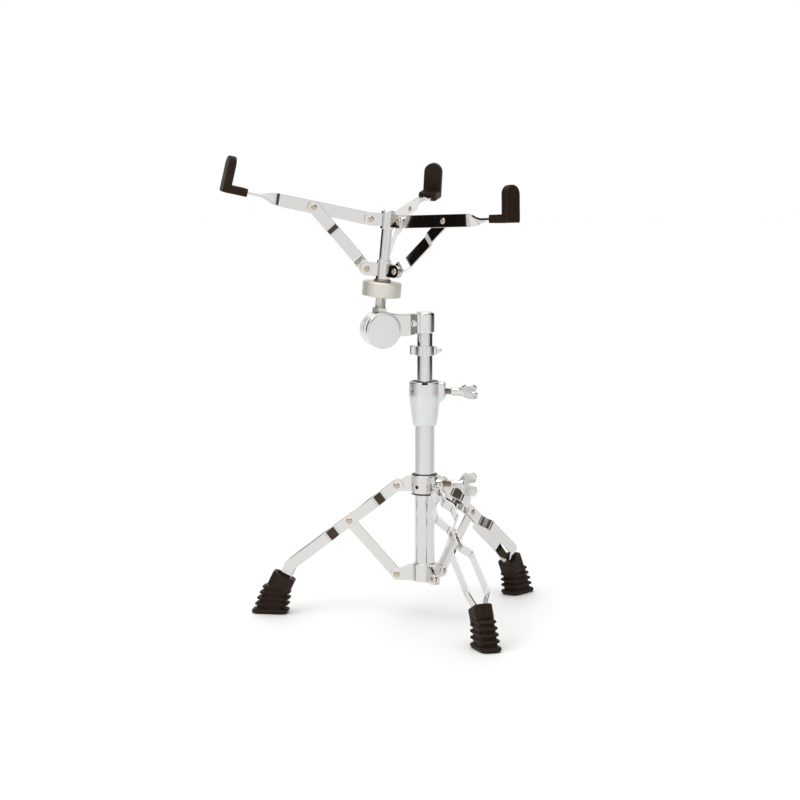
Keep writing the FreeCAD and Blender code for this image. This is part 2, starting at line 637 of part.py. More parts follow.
def make_basket_nut():
    body = Part.makeCylinder(NUT_R, NUT_H[1] - NUT_H[0], V(0, 0, NUT_H[0]))
    rims = [e for e in body.Edges if len(e.Vertexes) == 1 and e.Curve.Radius > NUT_R - 1]
    body = body.makeFillet(1.5, rims)
    return body.cut(Part.makeCylinder(ROD_R + RUN, 60.0, V(0, 0, NUT_H[0] - 10)))


def make_hub_washer():
    return tube(HUB_R + 1.6, ROD_R + SIDE, NUT_H[1] + 0.3, LOWER_HUB_H[0])


def make_hub(span, pivot_h, bore):
    """Sleeve with a pair of round-ended cheeks for each arm."""
    parts = [Part.makeCylinder(HUB_R, span[1] - span[0], V(0, 0, span[0]))]
    inner = ARM_T / 2 + SIDE
    for azimuth in BASKET_AZ:
        for side in (1, -1):
            y0, y1 = sorted((side * inner, side * (inner + CHEEK_T)))
            cheek = rounded_ear(5.0, HUB_PIVOT_R, pivot_h, CHEEK_H, y0, y1)
            cheek = cheek.cut(pivot_hole(HUB_PIVOT_R, pivot_h, radius=RIVET_R))
            parts.append(turned(cheek, azimuth))
    hub = fused(parts)
    return hub.cut(Part.makeCylinder(bore, span[1] - span[0] + 20, V(0, 0, span[0] - 10)))


def make_hub_rivets(pivot_h):
    half = ARM_T / 2 + SIDE + CHEEK_T
    return Part.makeCompound([turned(pivot_pin(HUB_PIVOT_R, pivot_h, half), azimuth) for azimuth in BASKET_AZ])


def arm_point(distance):
    angle = math.radians(ARM_SLOPE)
    return (HUB_PIVOT_R + distance * math.cos(angle), UPPER_PIVOT_H + distance * math.sin(angle))


def twist_end():
    x, z = arm_point(ARM_FLAT)
    angle = math.radians(TWIST_SLOPE)
    return (x + ARM_TWIST * math.cos(angle), z + ARM_TWIST * math.sin(angle))


def make_arm():
    """Flat strap on edge, a quarter twist, then a flat end that the rubber tip slips over."""
    half = ARM_W / 2
    strap = box(0, ARM_FLAT, -ARM_T / 2, ARM_T / 2, -half, half)
    strap = strap.fuse(cyl(half, V(0, -ARM_T / 2, 0), V(0, ARM_T / 2, 0)))
    strap = strap.cut(pivot_hole(0, 0))
    strap = strap.cut(pivot_hole(ARM_PIVOT, 0, radius=RIVET_R))
    strap = moved(turned(strap, -ARM_SLOPE, Y_AXIS), HUB_PIVOT_R, 0, UPPER_PIVOT_H)
    start = arm_point(ARM_FLAT)
    end = twist_end()
    wires = []
    steps = 8
    for i in range(steps + 1):
        share = i / steps
        roll = 90.0 * (3 * share ** 2 - 2 * share ** 3)
        tilt = ARM_SLOPE + (TIP_SLOPE - ARM_SLOPE) * share
        loop = [V(0, y, z) for y, z in ((-ARM_T / 2, -half), (ARM_T / 2, -half), (ARM_T / 2, half),
                                       (-ARM_T / 2, half))]
        wire = turned(turned(Part.makePolygon(loop + [loop[0]]), roll, X_AXIS), -tilt, Y_AXIS)
        wires.append(moved(wire, start[0] + (end[0] - start[0]) * share, 0,
                           start[1] + (end[1] - start[1]) * share))
    twist = Part.makeLoft(wires, True, True)
    flat = box(0, ARM_END, -half, half, -ARM_T / 2, ARM_T / 2)
    flat = moved(turned(flat, -TIP_SLOPE, Y_AXIS), end[0], 0, end[1])
    return fused([strap, twist, flat])


def make_arm_rivet():
    """The arm's half of the brace rivet: domed head on the clockwise face."""
    x, z = arm_point(ARM_PIVOT)
    half = ARM_T / 2
    shank = cyl(RIVET_R, V(x, -half, z), V(x, half, z))
    return shank.fuse(dome(RIVET_HEAD_R, RIVET_HEAD_H, V(x, -half, z), V(0, -1, 0)))


def make_tip(arm):
    """Rubber L: a leg over the arm's flat end and an arched wall that holds the drum hoop."""
    x, z = twist_end()
    end = TIP_START + TIP_LEG
    half = TIP_W / 2
    leg = box(TIP_START, end, -half, half, -TIP_THICK / 2, TIP_THICK / 2)
    wall_x = end - TIP_THICK
    wall = box(wall_x, end, -half, half, -TIP_THICK / 2, TIP_WALL_H - TIP_THICK / 2 - half)
    arch_z = TIP_WALL_H - TIP_THICK / 2 - half
    arch = cyl(half, V(wall_x, 0, arch_z), V(wall_x + TIP_THICK, 0, arch_z))
    tip = fused([leg, wall, arch])
    tip = moved(turned(tip, -TIP_SLOPE, Y_AXIS), x, 0, z)
    return tip.cut(arm)


def make_strut():
    """Basket brace: centred at the lower hub, stepped out to lie beside the arm at its rivet."""
    x0, z0 = HUB_PIVOT_R, LOWER_PIVOT_H
    x1, z1 = arm_point(ARM_PIVOT)
    length = math.hypot(x1 - x0, z1 - z0)
    half = STRUT_W / 2
    bow = STRUT_SIDE + STRUT_BOW
    path = ((-half, 0), (11.0, 0), (21.0, bow), (length - 42.0, bow), (length - 30.0, STRUT_SIDE),
            (length + half, STRUT_SIDE))
    outline = fused([box(0, length, -3, 15, -half, half)]
                    + [cyl(half, V(x, -3, 0), V(x, 15, 0)) for x in (0, length)])
    strut = ribbon(path, STRUT_T, STRUT_W + 4).common(outline).cut(pivot_hole(0, 0))
    outer = STRUT_SIDE + STRUT_T / 2
    strut = strut.fuse(dome(RIVET_HEAD_R, RIVET_HEAD_H, V(length, outer, 0), V(0, 1, 0)))
    slope = math.degrees(math.atan2(z1 - z0, x1 - x0))
    return moved(turned(strut, -slope, Y_AXIS), x0, 0, z0)


# ---------- write every node ----------
save("main_tube", make_main_tube())
save("tube_plug", make_tube_plug())
save("height_clamp", make_height_clamp())
save("clamp_bush", make_clamp_bush())
save("clamp_wing_bolt", make_wing_screw(12.3, CLAMP_SCREW_Z, CLAMP_WING_ROLL))
save("upper_tube", make_upper_tube())
save("leg_collar", make_leg_collar())
save("leg_collar_liner", make_leg_collar_liner())
save("leg_wing_bolt", make_wing_screw(12.9, LEG_SCREW_Z, LEG_WING_ROLL))
save("brace_collar", make_brace_collar())
save("brace_collar_rivets", make_brace_collar_rivets())

STRAPS = {1: make_leg_strap(1), -1: make_leg_strap(-1)}
LEG_RIVETS = make_leg_rivets()
FOOT = make_foot([STRAPS[1], STRAPS[-1]])
LEG_BRACE = make_leg_brace()
for number, azimuth in enumerate(LEG_AZ, 1):
    save("leg_%d_strap_left" % number, turned(STRAPS[1], azimuth))
    save("leg_%d_strap_right" % number, turned(STRAPS[-1], azimuth))
    save("leg_%d_rivets" % number, turned(LEG_RIVETS, azimuth))
    save("foot_%d" % number, turned(FOOT, azimuth))
    save("leg_brace_%d" % number, turned(LEG_BRACE, azimuth))

save("memory_lock_front", lock_half(-1))
save("memory_lock_rear", lock_half(1))
save("memory_lock_pin", make_lock_pin())
save("memory_lock_screw", make_lock_screw())

save("tilter_bracket", tilter_shape(make_tilter_bracket()))
save("tilter_cap", tilter_shape(disc(CAP_R, *CAP_N)))
save("tilter_bolt", tilter_shape(make_tilter_bolt()))
save("tilter_key_bolt", tilter_shape(make_tilter_key_bolt()))
save("tilter_washer", tilter_shape(make_tilter_washer()))
save("tilter_wing_nut", tilter_shape(make_tilter_wing_nut()))
save("rod_holder", make_rod_holder())

save("basket_rod", basket_place(make_rod()))
save("rod_jam_nut", basket_place(make_jam_nut()))
save("basket_nut", basket_place(make_basket_nut()))
save("hub_washer", basket_place(make_hub_washer()))
save("lower_hub", basket_place(make_hub(LOWER_HUB_H, LOWER_PIVOT_H, ROD_R + RUN)))
save("lower_hub_rivets", basket_place(make_hub_rivets(LOWER_PIVOT_H)))
save("upper_hub", basket_place(make_hub(UPPER_HUB_H, UPPER_PIVOT_H, ROD_R)))
save("upper_hub_rivets", basket_place(make_hub_rivets(UPPER_PIVOT_H)))

ARM = make_arm()
TIP = make_tip(ARM)
ARM_RIVET = make_arm_rivet()
STRUT = make_strut()
for number, azimuth in enumerate(BASKET_AZ, 1):
    save("arm_%d" % number, basket_place(turned(ARM, azimuth)))
    save("arm_rivet_%d" % number, basket_place(turned(ARM_RIVET, azimuth)))
    save("arm_tip_%d" % number, basket_place(turned(TIP, azimuth)))
    save("arm_brace_%d" % number, basket_place(turned(STRUT, azimuth)))
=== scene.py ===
import logging
import math
from dataclasses import dataclass, field
from enum import Enum
from typing import Iterable, Sequence

import bpy
import numpy as np
from mathutils import Matrix, Vector


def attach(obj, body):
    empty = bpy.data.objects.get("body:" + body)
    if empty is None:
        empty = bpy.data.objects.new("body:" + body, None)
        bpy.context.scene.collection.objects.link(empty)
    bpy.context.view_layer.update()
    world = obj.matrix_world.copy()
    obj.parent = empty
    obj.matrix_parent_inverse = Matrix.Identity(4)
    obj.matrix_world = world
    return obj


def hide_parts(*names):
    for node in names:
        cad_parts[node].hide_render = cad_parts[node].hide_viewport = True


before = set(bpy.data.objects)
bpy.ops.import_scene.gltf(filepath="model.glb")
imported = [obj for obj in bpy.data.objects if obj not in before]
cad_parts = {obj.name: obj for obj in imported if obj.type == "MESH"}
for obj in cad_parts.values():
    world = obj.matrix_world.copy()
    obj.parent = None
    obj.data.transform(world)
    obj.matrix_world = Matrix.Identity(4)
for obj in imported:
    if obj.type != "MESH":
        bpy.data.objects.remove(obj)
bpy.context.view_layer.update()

log = logging.getLogger("drum_stand")

MM = 0.001
TAU = 2.0 * math.pi


# --------------------------------------------------------------------------------------
# Dimensions of the stand, in millimetres and degrees, in the stand's own frame
# --------------------------------------------------------------------------------------
@dataclass(frozen=True)
class Column:
    """Sizes of the telescoping column and its clamp."""

    lower_radius: float = 12.5
    lower_bore: float = 11.0
    lower_span: tuple[float, float] = (50.0, 262.0)
    upper_radius: float = 10.0
    upper_bore: float = 8.5
    upper_span: tuple[float, float] = (140.0, 384.0)
    clamp_span: tuple[float, float] = (245.9, 301.4)
    clamp_screw_height: float = 289.0
    screw_heading: float = -8.2
    lock_span: tuple[float, float] = (334.0, 346.0)


@dataclass(frozen=True)
class LegSizes:
    """Sizes of the double-strap legs and their braces."""

    headings: tuple[float, ...] = (171.8, 51.8, -68.2)
    top: tuple[float, float] = (35.0, 168.6)
    slope: float = -37.6
    shin_slope: float = -64.5
    mid: float = 76.7
    knee: float = 171.2
    shin: float = 58.0
    width: float = 14.0
    thickness: float = 2.0
    bow: float = 13.0
    pinch: float = 2.6
    brace_foot: tuple[float, float] = (35.1, 55.2)
    brace_thickness: float = 2.6
    foot_middle: float = 199.0
    foot_rake: float = 0.27
    foot_neck: tuple[float, float] = (179.3, 49.6)
    foot_neck_size: tuple[float, float, float] = (29.6, 23.5, 19.0)
    foot_ribs: tuple[tuple[float, float, float], ...] = ((10.8, 43.4, 26.0), (18.3, 42.4, 25.5),
                                                         (25.5, 39.5, 25.0), (32.8, 36.0, 24.5))


@dataclass(frozen=True)
class TilterSizes:
    """Sizes of the disc tilter. Distances along the tilt axis are positive to the front."""

    heading: float = 22.0
    arm: float = 57.6
    height: float = 368.0
    rod_offset: float = -12.0


@dataclass(frozen=True)
class BasketSizes:
    """Sizes of the three-arm basket, in its own frame with Z along the rod."""

    lean: float = 5.0
    headings: tuple[float, ...] = (195.0, 75.0, -45.0)
    rod_radius: float = 7.0
    rod_span: tuple[float, float] = (6.5, 148.0)
    jam_span: tuple[float, float] = (20.0, 26.9)
    jam_flats: float = 17.3
    nut_span: tuple[float, float] = (40.7, 59.3)
    nut_radius: float = 24.3
    hub_radius: float = 9.3
    lower_hub: tuple[float, float] = (62.3, 86.0)
    upper_hub: tuple[float, float] = (125.0, 147.0)
    pivot_radius: float = 22.5
    lower_pivot: float = 74.3
    upper_pivot: float = 136.0
    arm_slope: float = 7.5
    arm_width: float = 16.0
    arm_thickness: float = 3.0
    arm_pivot: float = 74.0
    arm_flat: float = 108.0
    arm_twist: float = 38.0
    twist_slope: float = 8.5
    tip_slope: float = 8.0
    strut_width: float = 15.0
    strut_side: float = 3.3


COLUMN = Column()
LEG = LegSizes()
TILTER = TilterSizes()
BASKET = BasketSizes()


# --------------------------------------------------------------------------------------
# Placing parts
# --------------------------------------------------------------------------------------
def rotation(degrees: float, axis: str) -> Matrix:
    """Rotation about one axis of the frame.

    Args:
        degrees: right-handed angle in degrees.
        axis: "X", "Y" or "Z".

    Returns:
        A 4x4 rotation matrix.
    """
    return Matrix.Rotation(math.radians(degrees), 4, axis)


def shift(x: float, y: float, z: float) -> Matrix:
    """Translation in millimetres.

    Args:
        x: distance along X.
        y: distance along Y.
        z: distance along Z.

    Returns:
        A 4x4 translation matrix.
    """
    return Matrix.Translation(Vector((x, y, z)))


def tilter_frame() -> Matrix:
    """Frame of the tilter: X along its arm away from the disc, Y to the back, origin on the column axis.

    Returns:
        A 4x4 matrix from the tilter's frame to the stand's.
    """
    return rotation(TILTER.heading, "Z")


def basket_frame() -> Matrix:
    """Frame of the basket: Z along the leaning rod, origin where the rod meets the tilt axis.

    Returns:
        A 4x4 matrix from the basket's frame to the stand's.
    """
    origin = tilter_frame() @ Vector((-TILTER.arm, -TILTER.rod_offset, TILTER.height))
    return shift(*origin) @ rotation(BASKET.lean, "Y")


# --------------------------------------------------------------------------------------
# Shapes: closed skins computed as whole numpy arrays
# --------------------------------------------------------------------------------------
@dataclass
class Shape:
    """A closed mesh in millimetres: an (n, 3) array of points and faces as index tuples."""

    points: np.ndarray
    faces: list[tuple[int, ...]]

    def placed(self, matrix: Matrix) -> "Shape":
        """Moves the shape by a matrix.

        Args:
            matrix: 4x4 matrix applied to every point.

        Returns:
            The moved shape, with its faces still pointing outward.
        """
        m = np.array(matrix)
        moved = self.points @ m[:3, :3].T + m[:3, 3]
        faces = self.faces
        if np.linalg.det(m[:3, :3]) < 0:
            faces = [tuple(reversed(f)) for f in faces]
        return Shape(moved, faces)

    def outward(self) -> "Shape":
        """Turns the faces to point outward, judged by the signed volume.

        Returns:
            The shape with a positive volume.
        """
        volume = 0.0
        for f in self.faces:
            a = self.points[f[0]]
            for i in range(1, len(f) - 1):
                volume += float(np.dot(a, np.cross(self.points[f[i]], self.points[f[i + 1]])))
        if volume < 0:
            return Shape(self.points, [tuple(reversed(f)) for f in self.faces])
        return self


def joined(shapes: Iterable[Shape]) -> Shape:
    """Collects several shapes in one.

    Args:
        shapes: the shapes to collect.

    Returns:
        One shape that holds them all as separate shells.
    """
    points: list[np.ndarray] = []
    faces: list[tuple[int, ...]] = []
    base = 0
    for s in shapes:
        points.append(s.points)
        faces += [tuple(i + base for i in f) for f in s.faces]
        base += len(s.points)
    return Shape(np.concatenate(points), faces)


def skin(rings: np.ndarray, loop: bool = False) -> Shape:
    """Skins a stack of rings with quads.

    Args:
        rings: array (stations, points around, 3).
        loop: join the last ring to the first instead of capping both ends.

    Returns:
        The closed shape.
    """
    m, n = rings.shape[:2]
    ids = np.arange(m * n).reshape(m, n)
    low = ids if loop else ids[:-1]
    high = np.roll(ids, -1, axis=0) if loop else ids[1:]
    quads = np.stack([low, np.roll(low, -1, axis=1), np.roll(high, -1, axis=1), high], axis=-1)
    faces = [tuple(q) for q in quads.reshape(-1, 4).tolist()]
    if not loop:
        faces.append(tuple(reversed(ids[0].tolist())))
        faces.append(tuple(ids[-1].tolist()))
    return Shape(rings.reshape(-1, 3), faces).outward()


def rounded(points: Sequence[Sequence[float]], radius: float | Sequence[float], closed: bool = True,
            steps: int = 5) -> np.ndarray:
    """Replaces the corners of a 2-D polyline by arcs.

    Args:
        points: corner points.
        radius: one fillet radius for all corners, or one for each.
        closed: whether the line closes on itself.
        steps: segments in each arc.

    Returns:
        Array (n, 2) of points along the rounded line.
    """
    p = np.asarray(points, float)
    n = len(p)
    radii = np.full(n, float(radius)) if np.isscalar(radius) else np.asarray(radius, float)
    out: list[np.ndarray] = []
    for i in range(n):
        if (not closed and i in (0, n - 1)) or radii[i] <= 0:
            out.append(p[i][None])
            continue
        before, here, after = p[i - 1], p[i], p[(i + 1) % n]
        a = before - here
        b = after - here
        la, lb = np.linalg.norm(a), np.linalg.norm(b)
        a, b = a / la, b / lb
        half = 0.5 * math.acos(float(np.clip(a @ b, -1, 1)))
        if abs(math.pi / 2 - half) < 1e-3:
            out.append(here[None])
            continue
        reach = min(radii[i] / math.tan(half), 0.49 * la, 0.49 * lb)
        r = reach * math.tan(half)
        middle = here + (a + b) / np.linalg.norm(a + b) * (r / math.sin(half))
        start, end = here + a * reach - middle, here + b * reach - middle
        t0 = math.atan2(start[1], start[0])
        sweep = (math.atan2(end[1], end[0]) - t0 + math.pi) % TAU - math.pi
        t = t0 + sweep * np.linspace(0, 1, steps + 1)
        out.append(middle + r * np.stack([np.cos(t), np.sin(t)], axis=1))
    return np.concatenate(out)


def lathe(profile: np.ndarray, segments: int = 96, loop: bool = False) -> Shape:
    """Turns a (radius, height) profile about Z.

    Args:
        profile: array (k, 2).
        segments: points around.
        loop: the profile closes on itself, as in a tube wall.

    Returns:
        The turned shape.
    """
    angle = np.linspace(0, TAU, segments, endpoint=False)
    r, z = profile[:, 0, None], profile[:, 1, None]
    rings = np.stack([r * np.cos(angle), r * np.sin(angle), np.broadcast_to(z, (len(profile), segments))], -1)
    return skin(rings, loop)


def pipe(outer: float, inner: float, low: float, high: float, edge: float = 0.5, segments: int = 96) -> Shape:
    """Tube wall with softened rims.

    Args:
        outer: outside radius.
        inner: bore radius.
        low: bottom height.
        high: top height.
        edge: rim rounding radius.
        segments: points around.

    Returns:
        The tube.
    """
    corners = [(inner, low), (outer, low), (outer, high), (inner, high)]
    return lathe(rounded(corners, edge, True, 3), segments, loop=True)


def bar(radius: float, low: float, high: float, edge: float = 0.5, segments: int = 64) -> Shape:
    """Solid round bar with softened ends.

    Args:
        radius: radius of the bar.
        low: bottom height.
        high: top height.
        edge: end rounding radius.
        segments: points around.

    Returns:
        The bar.
    """
    corners = [(0.05, low), (radius, low), (radius, high), (0.05, high)]
    return lathe(rounded(corners, edge, False, 4), segments)


def dome(radius: float, height: float, skirt: float = 0.0, segments: int = 32) -> Shape:
    """Domed rivet head with a small dimple, standing on the XY plane.

    Args:
        radius: head radius.
        height: head height above the plane.
        skirt: how far the shank runs below the plane.
        segments: points around.

    Returns:
        The head.
    """
    t = np.linspace(0, math.radians(66), 8)
    arc = np.stack([radius * np.cos(t), height * np.sin(t)], 1)
    dimple = np.array([(0.30, 0.82), (0.22, 0.62), (0.13, 0.52), (0.02, 0.50)]) * (radius, height)
    base = np.array([(radius * 0.5, -skirt), (radius * 0.62, 0.0)])
    return lathe(np.concatenate([base, arc, dimple]), segments)


def threaded(radius: float, low: float, high: float, pitch: float = 1.75, depth: float = 0.7,
             segments: int = 64) -> Shape:
    """Round bar with a helical V thread cut in it.

    Args:
        radius: outside radius of the thread.
        low: bottom height.
        high: top height.
        pitch: thread pitch.
        depth: thread depth.
        segments: points around.

    Returns:
        The threaded bar.
    """
    count = int((high - low) / pitch * 8) + 2
    z = np.linspace(low, high, count)[:, None]
    angle = np.linspace(0, TAU, segments, endpoint=False)[None, :]
    phase = (z / pitch - angle / TAU) % 1.0
    fade = np.clip(np.minimum(z - low, high - z) / pitch, 0, 1)
    r = radius - depth * np.abs(2 * phase - 1) * fade
    rings = np.stack([r * np.cos(angle), r * np.sin(angle), np.broadcast_to(z, r.shape)], -1)
    return skin(rings)


def inset(outline: np.ndarray, amount: float) -> np.ndarray:
    """Moves a counter-clockwise outline inward.

    Args:
        outline: array (n, 2).
        amount: distance to move.

    Returns:
        The smaller outline, with as many points.
    """
    forward = np.roll(outline, -1, axis=0) - outline
    length = np.linalg.norm(forward, axis=1, keepdims=True)
    normal = np.stack([-forward[:, 1], forward[:, 0]], 1) / np.maximum(length, 1e-9)
    both = normal + np.roll(normal, 1, axis=0)
    both /= np.maximum(np.linalg.norm(both, axis=1, keepdims=True), 1e-9)
    stretch = 1.0 / np.clip(np.sum(both * normal, axis=1, keepdims=True), 0.5, 1.0)
    return outline + both * amount * stretch


def plate(outline: np.ndarray, low: float, high: float, edge: float = 0.4, steps: int = 3) -> Shape:
    """Flat plate from an outline in XY, with rounded edges, standing from low to high in Z.

    Args:
        outline: array (n, 2), either direction.
        low: bottom height.
        high: top height.
        edge: rounding radius of both rims.
        steps: segments in the rounding.

    Returns:
        The plate.
    """
    x, y = outline[:, 0], outline[:, 1]
    area = float(np.sum(x * np.roll(y, -1) - np.roll(x, -1) * y))
    line = outline if area > 0 else outline[::-1]
    t = np.linspace(0, math.pi / 2, steps + 1)
    insets = np.concatenate([edge * (1 - np.sin(t)), edge * (1 - np.cos(t))])
    heights = np.concatenate([low + edge * (1 - np.cos(t)), high - edge * (1 - np.sin(t))])
    rings = [np.column_stack([inset(line, i), np.full(len(line), h)]) for i, h in zip(insets, heights)]
    return skin(np.array(rings))


def upright(shape: Shape) -> Shape:
    """Stands an XY plate up in the XZ plane: its outline runs in X and Z, its thickness along -Y.

    Args:
        shape: the plate.

    Returns:
        The plate turned a quarter about X.
    """
    return shape.placed(rotation(90, "X"))


def rounded_box(length: float, width: float, low: float, high: float, corner: float, edge: float) -> Shape:
    """Block with rounded upright corners and rounded rims.

    Args:
        length: size along X.
        width: size along Y.
        low: bottom height.
        high: top height.
        corner: radius of the upright corners.
        edge: radius of the rims.

    Returns:
        The block, centred on Z.
    """
    x, y = length / 2, width / 2
    return plate(rounded([(-x, -y), (x, -y), (x, y), (-x, y)], corner, True, 6), low, high, edge)


def strap_skin(centres: np.ndarray, across: np.ndarray, normal: np.ndarray, half_widths: np.ndarray,
               thickness: float, edge: float = 0.45) -> Shape:
    """Sweeps a rounded strap section along a line.

    Args:
        centres: array (m, 3) of points on the centre line.
        across: array (m, 3) of directions over the strap's width.
        normal: array (m, 3) of directions through its thickness.
        half_widths: array (m,) of half widths.
        thickness: strap thickness.
        edge: rounding radius of the long edges.

    Returns:
        The strap.
    """
    half_t = thickness / 2
    quarter = np.linspace(0, math.pi / 2, 4)
    angle = np.concatenate([quarter + k * math.pi / 2 for k in range(4)])
    sign_u = np.repeat([1, -1, -1, 1], 4)
    sign_v = np.repeat([1, 1, -1, -1], 4)
    r = np.minimum(edge, half_widths * 0.98)[:, None]
    u = sign_u * (half_widths[:, None] - r) + r * np.cos(angle)
    v = sign_v * (half_t - np.minimum(r, half_t * 0.9)) + np.minimum(r, half_t * 0.9) * np.sin(angle)
    rings = centres[:, None] + u[..., None] * across[:, None] + v[..., None] * normal[:, None]
    return skin(rings)


def softened(stations: np.ndarray, knots: Sequence[Sequence[float]], blur: float) -> np.ndarray:
    """Reads a piecewise-linear curve with its bends softened by a moving average.

    Args:
        stations: distances at which to read the curve.
        knots: (distance, value) pairs.
        blur: length of the moving average.

    Returns:
        The curve's value at each station.
    """
    k = np.asarray(knots, float)
    offsets = np.linspace(-blur / 2, blur / 2, 9)
    total = np.zeros(len(stations))
    for o in offsets:
        total += np.interp(stations + o, k[:, 0], k[:, 1])
    return total / len(offsets)


def round_end_widths(stations: np.ndarray, start: float, end: float, half: float) -> np.ndarray:
    """Half widths of a strap whose two ends are half circles.

    Args:
        stations: distances along the strap.
        start: distance of the first circle's centre.
        end: distance of the last circle's centre.
        half: half width of the strap.

    Returns:
        Half width at each station.
    """
    over = np.maximum(np.maximum(start - stations, stations - end), 0)
    return np.sqrt(np.maximum(half ** 2 - over ** 2, 0.04))


# --------------------------------------------------------------------------------------
# Materials
# --------------------------------------------------------------------------------------
def srgb(code: str) -> tuple[float, float, float, float]:
    """Converts a hex colour to linear RGBA.

    Args:
        code: six hex digits.

    Returns:
        Linear red, green, blue and an alpha of one.
    """
    parts = [int(code[i:i + 2], 16) / 255 for i in (0, 2, 4)]
    linear = [c / 12.92 if c <= 0.04045 else ((c + 0.055) / 1.055) ** 2.4 for c in parts]
    return (linear[0], linear[1], linear[2], 1.0)


def add_node(tree: bpy.types.NodeTree, kind: str, inputs: dict | None = None, **settings) -> bpy.types.Node:
    """Adds a shader node.

    Args:
        tree: node tree to add to.
        kind: Blender's type name of the node.
        inputs: socket name to a value, or to an output socket to link.
        **settings: properties of the node.

    Returns:
        The node.
    """
    node = tree.nodes.new(kind)
    for name, value in settings.items():
        setattr(node, name, value)
    for name, value in (inputs or {}).items():
        if isinstance(value, bpy.types.NodeSocket):
            tree.links.new(value, node.inputs[name])
        else:
            node.inputs[name].default_value = value
    return node


@dataclass(frozen=True)
class Finish:
    """One material and how it was finished, or a dark colour that paints shade."""

    name: str
    slot: str
    colour: str
    metallic: float
    roughness: float
    grain_mm: float = 0.0
    grain_depth_mm: float = 0.0
    roughness_swing: float = 0.0
    detail: float = 3.0
    stretch: tuple[float, float, float] = (1.0, 1.0, 1.0)
    shade: str = ""
    shade_mm: float = 30.0
    gloss: float = 0.5

    def material(self) -> bpy.types.Material:
        """Builds the node material, once.

        Returns:
            The Blender material.
        """
        found = bpy.data.materials.get(self.name)
        if found:
            return found
        mat = bpy.data.materials.new(self.name)
        mat.use_nodes = True
        tree = mat.node_tree
        tree.nodes.clear()
        out = add_node(tree, "ShaderNodeOutputMaterial")
        skin_node = add_node(tree, "ShaderNodeBsdfPrincipled")
        skin_node.inputs["Base Color"].default_value = srgb(self.colour)
        skin_node.inputs["Metallic"].default_value = self.metallic
        skin_node.inputs["Roughness"].default_value = self.roughness
        skin_node.inputs["Specular IOR Level"].default_value = self.gloss
        tree.links.new(skin_node.outputs[0], out.inputs["Surface"])
        place = add_node(tree, "ShaderNodeTexCoord").outputs["Object"]
        if self.grain_mm > 0:
            scaled = add_node(tree, "ShaderNodeMapping", {"Vector": place, "Scale": self.stretch})
            grain = add_node(tree, "ShaderNodeTexNoise",
                             {"Vector": scaled.outputs[0], "Scale": 1.0 / (self.grain_mm * MM),
                              "Detail": self.detail, "Roughness": 0.55})
            bump = add_node(tree, "ShaderNodeBump",
                            {"Height": grain.outputs[0], "Strength": 1.0,
                             "Distance": self.grain_depth_mm * MM})
            tree.links.new(bump.outputs[0], skin_node.inputs["Normal"])
        if self.roughness_swing > 0:
            cloud = add_node(tree, "ShaderNodeTexNoise",
                             {"Vector": place, "Scale": 1.0 / (self.shade_mm * MM), "Detail": 4.0})
            spread = add_node(tree, "ShaderNodeMapRange",
                              {"Value": cloud.outputs[0], "From Min": 0.35, "From Max": 0.65,
                               "To Min": self.roughness, "To Max": self.roughness + self.roughness_swing})
            tree.links.new(spread.outputs[0], skin_node.inputs["Roughness"])
        if self.shade:
            cloud = add_node(tree, "ShaderNodeTexNoise",
                             {"Vector": place, "Scale": 1.0 / (self.shade_mm * MM), "Detail": 5.0})
            mix = add_node(tree, "ShaderNodeMix", data_type="RGBA")
            mix.inputs["A"].default_value = srgb(self.colour)
            mix.inputs["B"].default_value = srgb(self.shade)
            tree.links.new(cloud.outputs[0], mix.inputs["Factor"])
            tree.links.new(mix.outputs["Result"], skin_node.inputs["Base Color"])
        return mat


class Finishes(Enum):
    """The stand's finishes."""

    TUBE = Finish("chrome_plate_on_drawn_tube", "chromed_tube", "d8d7d5", 1.0, 0.045,
                  40.0, 0.02, 0.03, stretch=(1, 1, 0.25))
    STRAP = Finish("chrome_plate_on_pressed_strap", "chromed_strap", "dad9d7", 1.0, 0.06,
                   16.0, 0.035, 0.04)
    RIVET = Finish("chrome_plate_on_rivet", "chromed_rivet", "c9b8a6", 1.0, 0.17)
    FASTENER = Finish("chrome_plate_on_cast_screw", "chromed_fastener", "dededd", 1.0, 0.11,
                      3.0, 0.02, 0.05)
    THREAD = Finish("yellow_zinc_on_rolled_thread", "chromed_fastener", "a3907f", 1.0, 0.24)
    CASTING = Finish("satin_plate_on_die_casting", "satin_casting", "dcdedf", 1.0, 0.26,
                     1.2, 0.006, 0.08)
    BRIGHT_CASTING = Finish("bright_plate_on_die_casting", "satin_casting", "dededd", 1.0, 0.10,
                            5.0, 0.02, 0.05)
    FROSTED = Finish("bead_blasted_die_casting", "frosted_nut", "e2dfd7", 0.85, 0.52,
                     0.5, 0.05, 0.06)
    # Dark grey colour that paints the shade inside the bracket's bolt recess: painted shade, not a real
    # finish of the casting.
    PAINTED_RECESS_SHADE = Finish("painted_shade_plate_in_recess", "satin_casting", "8a8780", 1.0, 0.34, 2.0, 0.05, 0.1)
    RUBBER = Finish("moulded_black_rubber", "black_rubber", "2b1a0d", 0.0, 0.5,
                    0.8, 0.05, 0.12, shade="1b1108", shade_mm=9.0, gloss=0.2)
    NYLON = Finish("moulded_black_nylon", "black_nylon", "14110f", 0.0, 0.42, 0.6, 0.01, gloss=0.4)


